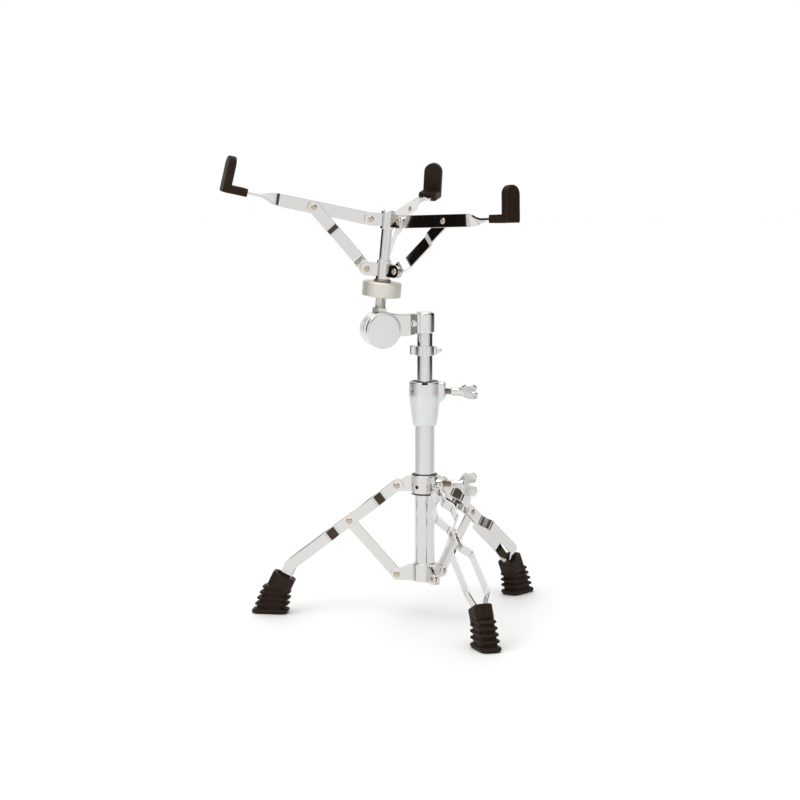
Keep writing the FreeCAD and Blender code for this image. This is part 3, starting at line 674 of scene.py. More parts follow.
# --------------------------------------------------------------------------------------
# Pieces
# --------------------------------------------------------------------------------------
def mesh_object(name: str, shape: Shape, finish: Finish, sharp: float = 38.0) -> bpy.types.Object:
    """Makes a Blender object at the origin from a shape.

    Args:
        name: object name.
        shape: the shape, in millimetres.
        finish: its material.
        sharp: angle in degrees above which an edge stays sharp.

    Returns:
        The object.
    """
    mesh = bpy.data.meshes.new(name)
    mesh.from_pydata((shape.points * MM).tolist(), [], shape.faces)
    mesh.polygons.foreach_set("use_smooth", [True] * len(mesh.polygons))
    mesh.set_sharp_from_angle(angle=math.radians(sharp))
    mesh.materials.append(finish.material())
    mesh.update()
    obj = bpy.data.objects.new(name, mesh)
    bpy.context.scene.collection.objects.link(obj)
    return obj


def applied(obj: bpy.types.Object) -> None:
    """Bakes an object's modifiers in its mesh.

    Args:
        obj: the object.
    """
    bpy.context.view_layer.update()
    graph = bpy.context.evaluated_depsgraph_get()
    baked = bpy.data.meshes.new_from_object(obj.evaluated_get(graph), depsgraph=graph)
    old = obj.data
    obj.modifiers.clear()
    obj.data = baked
    bpy.data.meshes.remove(old)


def carved(obj: bpy.types.Object, others: Sequence[Shape], operation: str) -> None:
    """Adds shapes to an object or cuts them from it.

    Args:
        obj: the object to change.
        others: shapes in millimetres.
        operation: "UNION" or "DIFFERENCE".
    """
    for shape in others:
        tool = mesh_object("tool", shape, Finishes.NYLON.value)
        tool.data.materials.clear()
        step = obj.modifiers.new("carve", "BOOLEAN")
        step.operation = operation
        step.solver = "EXACT"
        step.object = tool
        applied(obj)
        discarded(tool)


def copied(name: str, source: bpy.types.Object, matrix: Matrix) -> bpy.types.Object:
    """Copies an object with its own mesh, moved by a matrix.

    Args:
        name: name of the copy.
        source: object to copy.
        matrix: 4x4 matrix in millimetres.

    Returns:
        The copy, itself at the origin.
    """
    mesh = source.data.copy()
    mesh.name = name
    scaled = matrix.copy()
    scaled.translation = matrix.translation * MM
    mesh.transform(scaled)
    obj = bpy.data.objects.new(name, mesh)
    bpy.context.scene.collection.objects.link(obj)
    return obj


def discarded(obj: bpy.types.Object) -> None:
    """Removes an object and its mesh.

    Args:
        obj: the object to remove.
    """
    mesh = obj.data
    bpy.data.objects.remove(obj)
    bpy.data.meshes.remove(mesh)


def cast(name: str, adds: Sequence[Shape], cuts: Sequence[Shape], finish: Finish, voxel: float,
         passes: int) -> bpy.types.Object:
    """Makes a casting: shapes united, holes cut, then the whole skin relaxed so that corners run together.

    Args:
        name: object name.
        adds: shapes that make the body.
        cuts: shapes cut out of it.
        finish: its material.
        voxel: grain of the skin in millimetres.
        passes: smoothing passes.

    Returns:
        The casting.
    """
    obj = mesh_object(name, adds[0], finish)
    carved(obj, adds[1:], "UNION")
    carved(obj, cuts, "DIFFERENCE")
    remesh = obj.modifiers.new("skin", "REMESH")
    remesh.mode = "VOXEL"
    remesh.voxel_size = voxel * MM
    smooth = obj.modifiers.new("relax", "SMOOTH")
    smooth.iterations = passes
    smooth.factor = 0.5
    applied(obj)
    mesh = obj.data
    mesh.materials.clear()
    mesh.materials.append(finish.material())
    mesh.polygons.foreach_set("use_smooth", [True] * len(mesh.polygons))
    mesh.update()
    return obj


@dataclass
class Assembly:
    """A group of pieces that ride on the CAD bodies."""

    made: list[str] = field(default_factory=list)

    def add(self, name: str, shape: Shape, finish: Finishes, body: str, nodes: Sequence[str] = ()) -> None:
        """Makes a piece and ties it to the frame.

        Args:
            name: piece name.
            shape: its shape in millimetres.
            finish: its finish.
            body: CAD body it moves with.
            nodes: CAD nodes that it stands for.
        """
        self.tie(mesh_object(name, shape, finish.value), finish, body, nodes)

    def tie(self, obj: bpy.types.Object, finish: Finishes, body: str, nodes: Sequence[str] = ()) -> None:
        """Ties a finished object to the frame.

        Args:
            obj: the object.
            finish: its finish; not used.
            body: CAD body it moves with.
            nodes: CAD nodes that it stands for.
        """
        shading = obj.modifiers.new("shading", "WEIGHTED_NORMAL")
        shading.mode = "FACE_AREA"
        shading.keep_sharp = True
        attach(obj, body)
        if nodes:
            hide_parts(*nodes)
        self.made.append(obj.name)


MIRROR_Y = Matrix.Diagonal((1, -1, 1, 1))


def rivet_head() -> Shape:
    """Low dome shared by every rivet on the legs, collars and arms.

    Returns:
        The head, rising along Z.
    """
    return dome(3.9, 1.6, 1.0)


def wing_screw_parts(roll: float, height: float) -> tuple[list[Shape], Shape]:
    """Shapes of a wing screw: its cast head and its threaded shank.

    Args:
        roll: turn of the wings about the screw.
        height: height of the screw's axis.

    Returns:
        The head's shapes to unite, and the shank.
    """
    place = shift(0, 0, height) @ rotation(COLUMN.screw_heading, "Z") @ rotation(roll, "X")
    along_x = rotation(90, "Y")
    hub_line = rounded([(0.05, 33.6), (5.0, 33.6), (5.6, 36.0), (5.2, 42.0), (6.6, 49.5), (0.05, 52.5)],
                       (0, 0.7, 3.0, 4.0, 2.5, 0), False, 5)
    hub = lathe(hub_line, 48).placed(along_x)
    wing = rounded([(39.0, -1.5), (43.5, 4.6), (47.5, 11.5), (53.5, 16.4), (63.0, 16.4), (67.0, 10.0),
                    (65.2, 3.0), (59.0, 1.2), (55.5, 0.4), (53.0, -1.5)],
                   (0, 4, 6, 5, 5, 4.5, 4, 4, 2, 0), True, 6)
    blades = []
    for side in (1, -1):
        line = wing * np.array([1, side])
        blade = upright(plate(line, -1.95, 1.95, 1.3, 4))
        blades.append(blade)
    head = [s.placed(place) for s in [hub] + blades]
    shank = threaded(4.0, 13.0, 34.5, 1.25, 0.5, 40).placed(place @ along_x)
    return head, shank


class ColumnParts(Assembly):
    """The tubes, the height clamp, the memory lock and both wing screws."""

    def build(self) -> None:
        """Makes every piece of the column."""
        c = COLUMN
        self.add("lower_tube", pipe(c.lower_radius, c.lower_bore, *c.lower_span, 0.4, 128), Finishes.TUBE,
                 "base", ["main_tube"])
        self.add("upper_tube_skin", pipe(c.upper_radius, c.upper_bore, *c.upper_span, 0.4, 128),
                 Finishes.TUBE,
                 "upper_column", ["upper_tube"])
        self.add("tube_end_plug", bar(10.9, 51.0, 60.0, 0.6), Finishes.NYLON, "base", ["tube_plug"])
        self.build_clamp()
        self.build_lock()
        for name, roll, height, body in (("clamp", 52.0, c.clamp_screw_height, "clamp_wing_bolt"),
                                         ("leg", 12.0, 172.0, "leg_wing_bolt")):
            head, shank = wing_screw_parts(roll, height)
            piece = cast(name + "_wing_head", head, [], Finishes.FASTENER.value, 0.32, 6)
            self.tie(piece, Finishes.FASTENER, body, [body])
            self.add(name + "_wing_thread", shank, Finishes.THREAD, body)

    def build_clamp(self) -> None:
        """Makes the tapered height clamp and the nylon bush in its mouth."""
        low, high = COLUMN.clamp_span
        outer = rounded([(12.4, low), (15.0, low), (16.4, 255.0), (20.0, 284.0), (20.0, high), (16.9, high)],
                        (0, 0.9, 16, 26, 1.4, 0), False, 8)
        inner = np.array([(16.9, 298.3), (12.1, 298.0), (12.1, 262.0), (12.55, 261.5)])
        sleeve = lathe(np.concatenate([outer, inner]), 96, loop=True)
        place = rotation(COLUMN.screw_heading, "Z")
        boss_line = rounded([(10.0, 301.2), (26.6, 301.2), (26.6, 281.0), (16.0, 271.0), (10.0, 271.0)],
                            (0, 3.0, 5.0, 5.0, 0), True, 5)
        boss = upright(plate(boss_line, -7.8, 7.8, 3.2, 5)).placed(place)
        screw_line = shift(0, 0, COLUMN.clamp_screw_height) @ place @ rotation(90, "Y")
        hole = bar(4.1, 12.0, 40.0, 0.05).placed(screw_line)
        core = bar(12.1, 240.0, 310.0, 0.1)
        notch = rounded_box(7.0, 9.0, high - 3.0, high + 3, 1.0, 0.3).placed(shift(0, -19.5, 0))
        pin = bar(1.6, 15.0, 26.0, 0.05).placed(shift(0, 0, 291.0) @ rotation(-142, "Z") @ rotation(90, "Y"))
        mouth = bar(16.9, 298.2, 310.0, 0.05)
        body = cast("height_clamp_body", [sleeve, boss], [core, mouth, notch, pin, hole],
                    Finishes.CASTING.value, 0.42, 5)
        self.tie(body, Finishes.CASTING, "base", ["height_clamp"])
        bush = rounded([(10.05, 262.4), (11.9, 262.4), (11.9, 298.4), (16.5, 298.4), (16.5, 300.6),
                        (10.05, 300.6)],
                       (0.3, 0.3, 0.3, 0.3, 0.6, 0.6), True, 3)
        self.add("clamp_bush_ring", lathe(bush, 96, loop=True), Finishes.NYLON, "clamp_bush", ["clamp_bush"])

    def build_lock(self) -> None:
        """Makes the two halves of the memory lock, its hinge pin and key screw."""
        low, high = COLUMN.lock_span
        for name, side in (("front", -1), ("rear", 1)):
            angle = np.linspace(0.02, math.pi - 0.02, 49)
            outer = np.stack([12.8 * np.cos(angle), 12.8 * np.sin(angle)], 1)
            inner = np.stack([10.06 * np.cos(angle[::-1]), 10.06 * np.sin(angle[::-1])], 1)
            ring = plate(np.concatenate([outer, inner]), low, high, 0.7)
            lug_left = plate(rounded([(-19.6, 0.3), (-11.6, 0.3), (-11.6, 5.6), (-17.0, 4.6)],
                                     (1.6, 0, 2, 2)),
                             low + 0.6, high - 0.6, 0.8)
            lug_right = plate(rounded([(11.4, 0.3), (14.9, 0.3), (14.9, 4.6), (11.4, 6.0)], (0, 0.8, 1.2, 0)),
                              low + 0.6, high - 0.6, 0.7)
            shapes = [ring, lug_left, lug_right]
            if side < 0:
                shapes.append(rounded_box(5.0, 4.2, low - 2.2, high + 1.2, 0.8,
                                          0.5).placed(shift(0, 13.1, 0)))
            half = joined(shapes)
            if side < 0:
                half = half.placed(MIRROR_Y)
            self.add("lock_half_" + name, half, Finishes.BRIGHT_CASTING, "memory_lock",
                     ["memory_lock_" + name])
        pin = joined([bar(2.2, low + 0.5, high - 0.5), dome(2.9, 1.3).placed(shift(0, 0, high - 0.8))])
        self.add("lock_pin", pin.placed(shift(-16.4, 0, 0)), Finishes.RIVET, "memory_lock",
                 ["memory_lock_pin"])
        along = shift(0, 0, 340) @ rotation(90, "Y")
        parts = [bar(2.5, 12.5, 16.0), bar(3.5, 15.1, 17.0), rounded_box(5.0, 5.0, 16.8, 19.8, 0.5, 0.4),
                 lathe(rounded([(0.05, 19.6), (2.2, 19.6), (1.1, 21.3), (0.05, 21.3)], 0.3, False, 3), 32)]
        screw = joined(parts).placed(along)
        self.add("lock_key_screw", screw, Finishes.FASTENER, "memory_lock_screw", ["memory_lock_screw"])


class LegParts(Assembly):
    """Leg collar, brace collar, three double-strap legs with braces and rubber feet."""

    def build(self) -> None:
        """Makes every piece of the tripod."""
        self.build_leg_collar()
        self.build_brace_collar()
        foot = self.foot()
        for number, heading in enumerate(LEG.headings, 1):
            place = rotation(heading, "Z")
            for side, word in ((1, "left"), (-1, "right")):
                self.add(f"leg_{number}_{word}", self.strap(side).placed(place), Finishes.STRAP,
                         f"leg_{number}", [f"leg_{number}_strap_{word}"])
            self.add(f"leg_{number}_rivet_heads", self.rivets().placed(place), Finishes.RIVET,
                     f"leg_{number}", [f"leg_{number}_rivets"])
            self.tie(copied(f"leg_{number}_foot", foot, place), Finishes.RUBBER,
                     f"leg_{number}", [f"foot_{number}"])
            self.add(f"brace_{number}", self.brace().placed(place), Finishes.STRAP,
                     f"leg_brace_{number}", [f"leg_brace_{number}"])
        discarded(foot)

    def strap(self, side: int) -> Shape:
        """One strap of a leg in its own plane: head, two bows, knee and shin.

        Args:
            side: 1 for the left strap, -1 for the right one.

        Returns:
            The strap.
        """
        g = LEG
        upper = np.concatenate([np.linspace(-8, -4, 9), np.arange(-3, g.knee - 3, 1.0)])
        flare = ((-20, 3.8), (22, 3.8), (32, g.bow), (50, g.bow), (66, g.pinch), (98, g.pinch),
                 (108, g.bow), (200, g.bow))
        side_upper = softened(upper, flare, 5.0)
        a = math.radians(g.slope)
        lower = np.arange(3.0, g.shin, 1.0)
        shin_flare = ((-20, g.bow), (2, g.bow), (21, 4.2), (80, 4.2))
        side_lower = softened(lower, shin_flare, 5.0)
        b = math.radians(g.shin_slope)
        knee = (g.top[0] + g.knee * math.cos(a), g.top[1] + g.knee * math.sin(a))
        centre_upper = np.stack([g.top[0] + upper * math.cos(a), side_upper,
                                 g.top[1] + upper * math.sin(a)], 1)
        centre_lower = np.stack([knee[0] + lower * math.cos(b), side_lower, knee[1] + lower * math.sin(b)], 1)
        mid = np.array([[knee[0], g.bow, knee[1]]])
        centres = np.concatenate([centre_upper, mid, centre_lower])
        slope = np.concatenate([np.full(len(upper), a), [(a + b) / 2], np.full(len(lower), b)])
        across = np.stack([-np.sin(slope), np.zeros(len(slope)), np.cos(slope)], 1)
        tangent = np.gradient(centres, axis=0)
        tangent /= np.linalg.norm(tangent, axis=1, keepdims=True)
        normal = np.cross(across, tangent)
        normal /= np.linalg.norm(normal, axis=1, keepdims=True)
        half = np.full(len(centres), g.width / 2)
        half[:9] = np.interp(upper[:9], (-8, -4.5), (3.6, 7.0))
        half[len(upper)] = g.width / 2 / math.cos((a - b) / 2)
        shape = strap_skin(centres, across, normal, half, g.thickness, 0.5)
        return shape if side > 0 else shape.placed(MIRROR_Y)

    def rivets(self) -> Shape:
        """Rivet heads on both faces at the top pivot and at the brace pivot.

        Returns:
            The heads of one leg.
        """
        g = LEG
        a = math.radians(g.slope)
        spots = ((g.top[0], g.top[1], 4.8),
                 (g.top[0] + g.mid * math.cos(a), g.top[1] + g.mid * math.sin(a), 3.6))
        heads = []
        for x, z, half in spots:
            for side in (1, -1):
                turn = rotation(-90 * side, "X")
                heads.append(rivet_head().placed(shift(x, side * half, z) @ turn))
        return joined(heads)

    def level(self, length: float, width: float, corner: float, z: float) -> np.ndarray:
        """One horizontal outline of the foot, in the leg's plane.

        Args:
            length: size along the leg's plane.
            width: size across it.
            corner: corner radius.
            z: height.

        Returns:
            Ring of points.
        """
        x, y = length / 2, width / 2
        flat = rounded([(-x, -y), (x, -y), (x, y), (-x, y)], corner, True, 6)
        return np.column_stack([flat[:, 0] + LEG.foot_middle - LEG.foot_rake * z, flat[:, 1],
                                np.full(len(flat), z)])

    def foot(self) -> bpy.types.Object:
        """Moulded foot: rounded sole, four ribs and a neck square to the shin, with an open mouth.

        Returns:
            The foot of a leg that points along X.
        """
        g = LEG
        core = [self.level(36, 20, 7, 2.0), self.level(37, 21, 7, 8.0), self.level(30, 20, 6, 37.0)]
        sole = [self.level(39, 20, 7, 0.0), self.level(43.5, 24.5, 8, 0.5), self.level(46.4, 27, 9, 2.4),
                self.level(47, 27.5, 9, 4.2), self.level(46, 26.6, 9, 5.8), self.level(42, 23, 8, 6.5)]
        adds = [skin(np.array(core)), skin(np.array(sole))]
        for z, length, width in g.foot_ribs:
            steps = ((0.0, 3.0), (0.5, 1.0), (1.3, 0.1), (2.2, 0.0), (3.0, 0.8), (3.6, 3.0))
            rib = [self.level(length - trim, width - trim, 8 - trim / 4, z + rise) for rise, trim in steps]
            adds.append(skin(np.array(rib)))
        length, width, depth = g.foot_neck_size
        x, y = length / 2, width / 2
        cut = 4.5
        corners = [(-x + cut, -y), (x - cut, -y), (x, -y + cut), (x, y - cut), (x - cut, y),
                   (-x + cut, y), (-x, y - cut), (-x, -y + cut)]
        place = shift(g.foot_neck[0], 0, g.foot_neck[1]) @ rotation(-90.0 - g.shin_slope, "Y")
        adds.append(plate(rounded(corners, 1.8, True, 3), -depth, 0.0, 1.3, 4).placed(place))
        mouth = rounded_box(19.0, 14.5, -6.0, 8.0, 3.0, 0.2).placed(place)
        return cast("foot_pattern", adds, [mouth], Finishes.RUBBER.value, 0.45, 2)

    def brace(self) -> Shape:
        """Single flat brace with round ends.

        Returns:
            The brace in the leg's plane.
        """
        g = LEG
        a = math.radians(g.slope)
        x0, z0 = g.brace_foot
        x1, z1 = g.top[0] + g.mid * math.cos(a), g.top[1] + g.mid * math.sin(a)
        length = math.hypot(x1 - x0, z1 - z0)
        half = g.width / 2
        ends = half - half * np.cos(np.linspace(0.05, math.pi / 2, 10))
        stations = np.concatenate([-half + ends, [half, length - half], (length + half - ends)[::-1]])
        widths = round_end_widths(stations, 0.0, length, half)
        centres = np.stack([stations, np.zeros_like(stations), np.zeros_like(stations)], 1)
        across = np.tile([0.0, 0.0, 1.0], (len(stations), 1))
        normal = np.tile([0.0, 1.0, 0.0], (len(stations), 1))
        shape = strap_skin(centres, across, normal, widths, g.brace_thickness, 0.5)
        slope = math.degrees(math.atan2(z1 - z0, x1 - x0))
        return shape.placed(shift(x0, 0, z0) @ rotation(-slope, "Y"))

    def build_leg_collar(self) -> None:
        """Makes the sliding collar, its ears, its screw boss and the nylon liner."""
        ear_line = rounded([(13, 161.4), (21, 161.4), (30, 161.6), (35, 161.6), (42, 161.6), (42, 175.6),
                            (35, 175.6), (30, 175.8), (21, 182.2), (13, 182.2)],
                           (0, 8, 0, 0, 6.9, 6.9, 0, 8, 8, 0), True, 6)
        hole_height, hole_heading, hole_radius = 168.8, -125, 2.4
        spot = shift(0, 0, hole_height) @ rotation(hole_heading, "Z") @ rotation(90, "Y")
        ring = mesh_object("leg_collar_ring", pipe(17.0, 15.0, 160.2, 183.4, 0.8, 96), Finishes.TUBE.value)
        carved(ring, [bar(hole_radius, 13.0, 20.0, 0.05).placed(spot)], "DIFFERENCE")
        ring.data.set_sharp_from_angle(angle=math.radians(35))
        self.tie(ring, Finishes.TUBE, "leg_collar")
        shapes = []
        for heading in LEG.headings:
            for side in (1, -1):
                ear = upright(plate(ear_line, -1.2, 1.2, 0.45)).placed(shift(0, side * 1.28, 0))
                shapes.append(ear.placed(rotation(heading, "Z")))
        boss = lathe(rounded([(0.05, 14), (8, 14), (8, 22), (7.0, 24), (4.2, 24), (4.2, 20), (0.05, 20)],
                             (0, 0, 1.5, 0.8, 0.4, 0, 0), False, 4), 48)
        place = shift(0, 0, 172.0) @ rotation(COLUMN.screw_heading, "Z") @ rotation(90, "Y")
        shapes.append(boss.placed(place))
        self.add("leg_collar_band", joined(shapes), Finishes.STRAP, "leg_collar", ["leg_collar"])
        rim = rounded([(12.55, 158.4), (16.7, 158.4), (16.7, 160.3), (14.9, 160.3), (14.9, 183.3),
                       (16.2, 183.3), (16.2, 184.2), (12.55, 184.2)], (0.4, 0.5, 0, 0, 0, 0, 0.4,
                                                                       0.4), True, 3)
        self.add("leg_collar_nylon", lathe(rim, 96, loop=True), Finishes.NYLON, "leg_collar",
                 ["leg_collar_liner"])

    def build_brace_collar(self) -> None:
        """Makes the fixed lower collar with its three pairs of ears and rivets."""
        low, high = 48.0, 70.8
        g = LEG
        x, z = g.brace_foot
        line = rounded([(12, low), (24, low), (x + 7.2, low + 0.1), (x + 7.2, z + 7.2), (x - 3, z + 7.6),
                        (22, high - 3.2), (12, high - 3.2)], (0, 0, 7.1, 7.1, 6, 6, 0), True, 7)
        inner = g.brace_thickness / 2 + 0.3
        shapes = [pipe(15.0, 12.5, low, high, 0.8, 96)]
        pins = []
        for heading in g.headings:
            place = rotation(heading, "Z")
            for side in (1, -1):
                ear = upright(plate(line, -1.1, 1.1, 0.45)).placed(shift(0, side * (inner + 1.1), 0))
                shapes.append(ear.placed(place))
                head = rivet_head().placed(shift(x, side * (inner + 2.2), z) @ rotation(-90 * side, "X"))
                pins.append(head.placed(place))
            shank = bar(2.5, -inner - 1, inner + 1, 0.1, 24).placed(shift(x, 0, z) @ rotation(90, "X"))
            pins.append(shank.placed(place))
        self.add("brace_collar_band", joined(shapes), Finishes.STRAP, "base", ["brace_collar"])
        self.add("brace_collar_rivet_heads", joined(pins), Finishes.RIVET, "base", ["brace_collar_rivets"])


# Key bolt of the bracket: distance from the column and height, in millimetres.
KEY_BOLT_X = -16.8
KEY_BOLT_Z = 374.5
AXIS_LIMIT = 0.5  # a profile that starts farther out than this is a ring with a bore


class TilterParts(Assembly):
    """The disc tilter: bracket, face cap, bolts, washer, wing nut and rod holder."""

    def disc(self, profile: np.ndarray, segments: int = 128) -> Shape:
        """Turns a profile about the tilt axis.

        Args:
            profile: (radius, distance to the front) points.
            segments: points around.

        Returns:
            The disc in the tilter's frame.
        """
        loop = profile[0][0] > AXIS_LIMIT
        return lathe(profile, segments, loop).placed(shift(-TILTER.arm, 0, TILTER.height) @ rotation(90, "X"))

    def build(self) -> None:
        """Makes every piece of the tilter."""
        place = tilter_frame()
        socket_line = rounded([(0.05, 362.4), (12.5, 362.4), (12.5, 388.7), (0.05, 389.0)],
                              (0, 1.0, 3.6, 0), False, 6)
        socket = lathe(socket_line, 96)
        arm_line = rounded([(-57, 360.0), (-30, 359.2), (-22, 359.6), (-6, 363.0), (-6, 386.4), (-24, 387.2),
                            (-36, 387.4), (-57, 391.0)], (0, 3, 3, 0, 0, 3, 10, 0), True, 4)
        arm = upright(plate(arm_line, -6.9, 6.9, 2.0, 4))
        relief = rounded_box(50.0, 20.0, 350.0, 400.0, 1.0, 0.5).placed(shift(-47.0, 11.7, 0))
        front = self.disc(rounded([(0.05, -2.0), (23.2, -2.0), (23.4, 6.0), (22.4, 8.0), (0.05, 8.0)],
                                  (0, 0.6, 1.0, 1.0, 0), False, 5))
        room = self.disc(rounded([(0.05, -30.0), (24.0, -30.0), (24.0, -2.05), (0.05, -2.05)], 0.1, False, 2))
        recess = rounded_box(8.6, 20.0, 361.6, 392.0, 1.2, 0.8).placed(shift(-17.0, -12.9, 0))
        notches = [rounded_box(2.4, 30.0, 357.0, 361.4, 0.5, 0.3).placed(shift(x, 0, 0))
                   for x in (-31.0, -25.6)]
        bore = bar(10.05, 355.0, 384.2, 0.1)
        bolt_hole = bar(2.5, 0, 20, 0.05).placed(shift(KEY_BOLT_X, 4, KEY_BOLT_Z) @ rotation(90, "X"))
        bracket = cast("tilter_bracket_body", [socket, arm],
                       [relief, room, recess, bore, bolt_hole] + notches,
                       Finishes.BRIGHT_CASTING.value, 0.42, 4)
        bracket.data.transform(place)
        self.tie(bracket, Finishes.BRIGHT_CASTING, "upper_column", ["tilter_bracket"])
        self.add("tilter_front_disc", front.placed(place), Finishes.BRIGHT_CASTING, "upper_column")
        face = self.disc(rounded([(0.05, 7.8), (20.8, 7.8), (20.8, 8.6), (20.0, 9.0), (0.05, 9.15)],
                                 (0, 0, 0.3, 0.5, 0), False, 4))
        self.add("tilter_face", face.placed(place), Finishes.BRIGHT_CASTING, "upper_column", ["tilter_cap"])
        bolt = joined([self.disc(np.array([(0.05, -38.0), (3.3, -38.0), (4.0, -37.2), (4.0, 5.0),
                                           (0.05, 5.0)]), 40)])
        # Thin dark plate on the bolt recess floor: painted shade for the recess, standing for no real piece.
        recess_shade_plate = rounded_box(9.0, 0.4, 361.6, 386.0, 0.1, 0.05).placed(place @ shift(-16.9, -3.0, 0))
        self.add("tilter_recess_painted_shade", recess_shade_plate, Finishes.PAINTED_RECESS_SHADE, "upper_column")
        self.add("tilter_through_bolt", bolt.placed(place), Finishes.THREAD, "upper_column", ["tilter_bolt"])
        washer = self.disc(rounded([(4.1, -3.0), (17.0, -3.0), (17.0, -2.0), (4.1, -2.0)], 0.2, True, 2))
        self.add("tilter_friction_ring", washer.placed(place), Finishes.NYLON, "upper_column",
                 ["tilter_washer"])
        turn = shift(KEY_BOLT_X, 0, KEY_BOLT_Z) @ rotation(90, "X")
        key = joined([bar(4.2, 2.8, 4.4), bar(2.4, -5.0, 4.0), rounded_box(5.4, 5.4, 4.2, 8.8, 0.5, 0.4)])
        self.add("tilter_key_bolt_head", key.placed(place @ turn), Finishes.FASTENER, "upper_column",
                 ["tilter_key_bolt"])
        self.build_wing_nut(place)
        self.build_holder(place)

    def build_wing_nut(self, place: Matrix) -> None:
        """Makes the wing nut behind the disc.

        Args:
            place: the tilter's frame.
        """
        hub = self.disc(rounded([(4.05, -20.8), (8.0, -20.8), (8.0, -23.4), (6.6, -25.0), (6.4, -32.4),
                                 (4.05, -32.8)],
                                (0.2, 0.6, 0.6, 2, 1.2, 0.3), True, 4), 64)
        line = rounded([(3.0, 24.8), (8.0, 26.4), (14.0, 28.4), (17.4, 32.4), (16.4, 37.0), (11.8, 39.2),
                        (8.4, 37.0), (6.2, 33.4), (3.0, 31.6)], (0, 3, 3.5, 3.5, 3.5, 3.5, 3, 3, 0), True, 5)
        shapes = [hub]
        spin = rotation(88, "Y")
        for side in (1, -1):
            blade = plate(line * np.array([side, 1]), -1.9, 1.9, 1.3, 4)
            shapes.append(blade.placed(shift(-TILTER.arm, 0, TILTER.height) @ spin))
        nut = joined(shapes).placed(place)
        self.add("tilter_wing_nut_body", nut, Finishes.FASTENER, "tilter_wing_nut", ["tilter_wing_nut"])

    def build_holder(self, place: Matrix) -> None:
        """Makes the rear disc that carries the rod.

        Args:
            place: the tilter's frame.
        """
        line = rounded([(4.1, -3.2), (21.6, -3.2), (22.4, -5.0), (22.4, -8.4), (21.5, -9.0), (21.5, -9.8),
                        (22.5, -10.4), (22.5, -18.4), (21.2, -20.4), (4.1, -20.4)],
                       (0.2, 0.8, 0.8, 0.3, 0.3, 0.3, 0.3, 1.4, 1.4, 0.2), True, 4)
        obj = mesh_object("rod_holder_disc", self.disc(line).placed(place), Finishes.BRIGHT_CASTING.value)
        seat = rounded_box(60, 60, 20.0, 50.0, 1.0, 0.1).placed(basket_frame())
        carved(obj, [seat], "DIFFERENCE")
        obj.data.polygons.foreach_set("use_smooth", [True] * len(obj.data.polygons))
        obj.data.set_sharp_from_angle(angle=math.radians(35))
        self.tie(obj, Finishes.BRIGHT_CASTING, "tilter_head", ["rod_holder"])


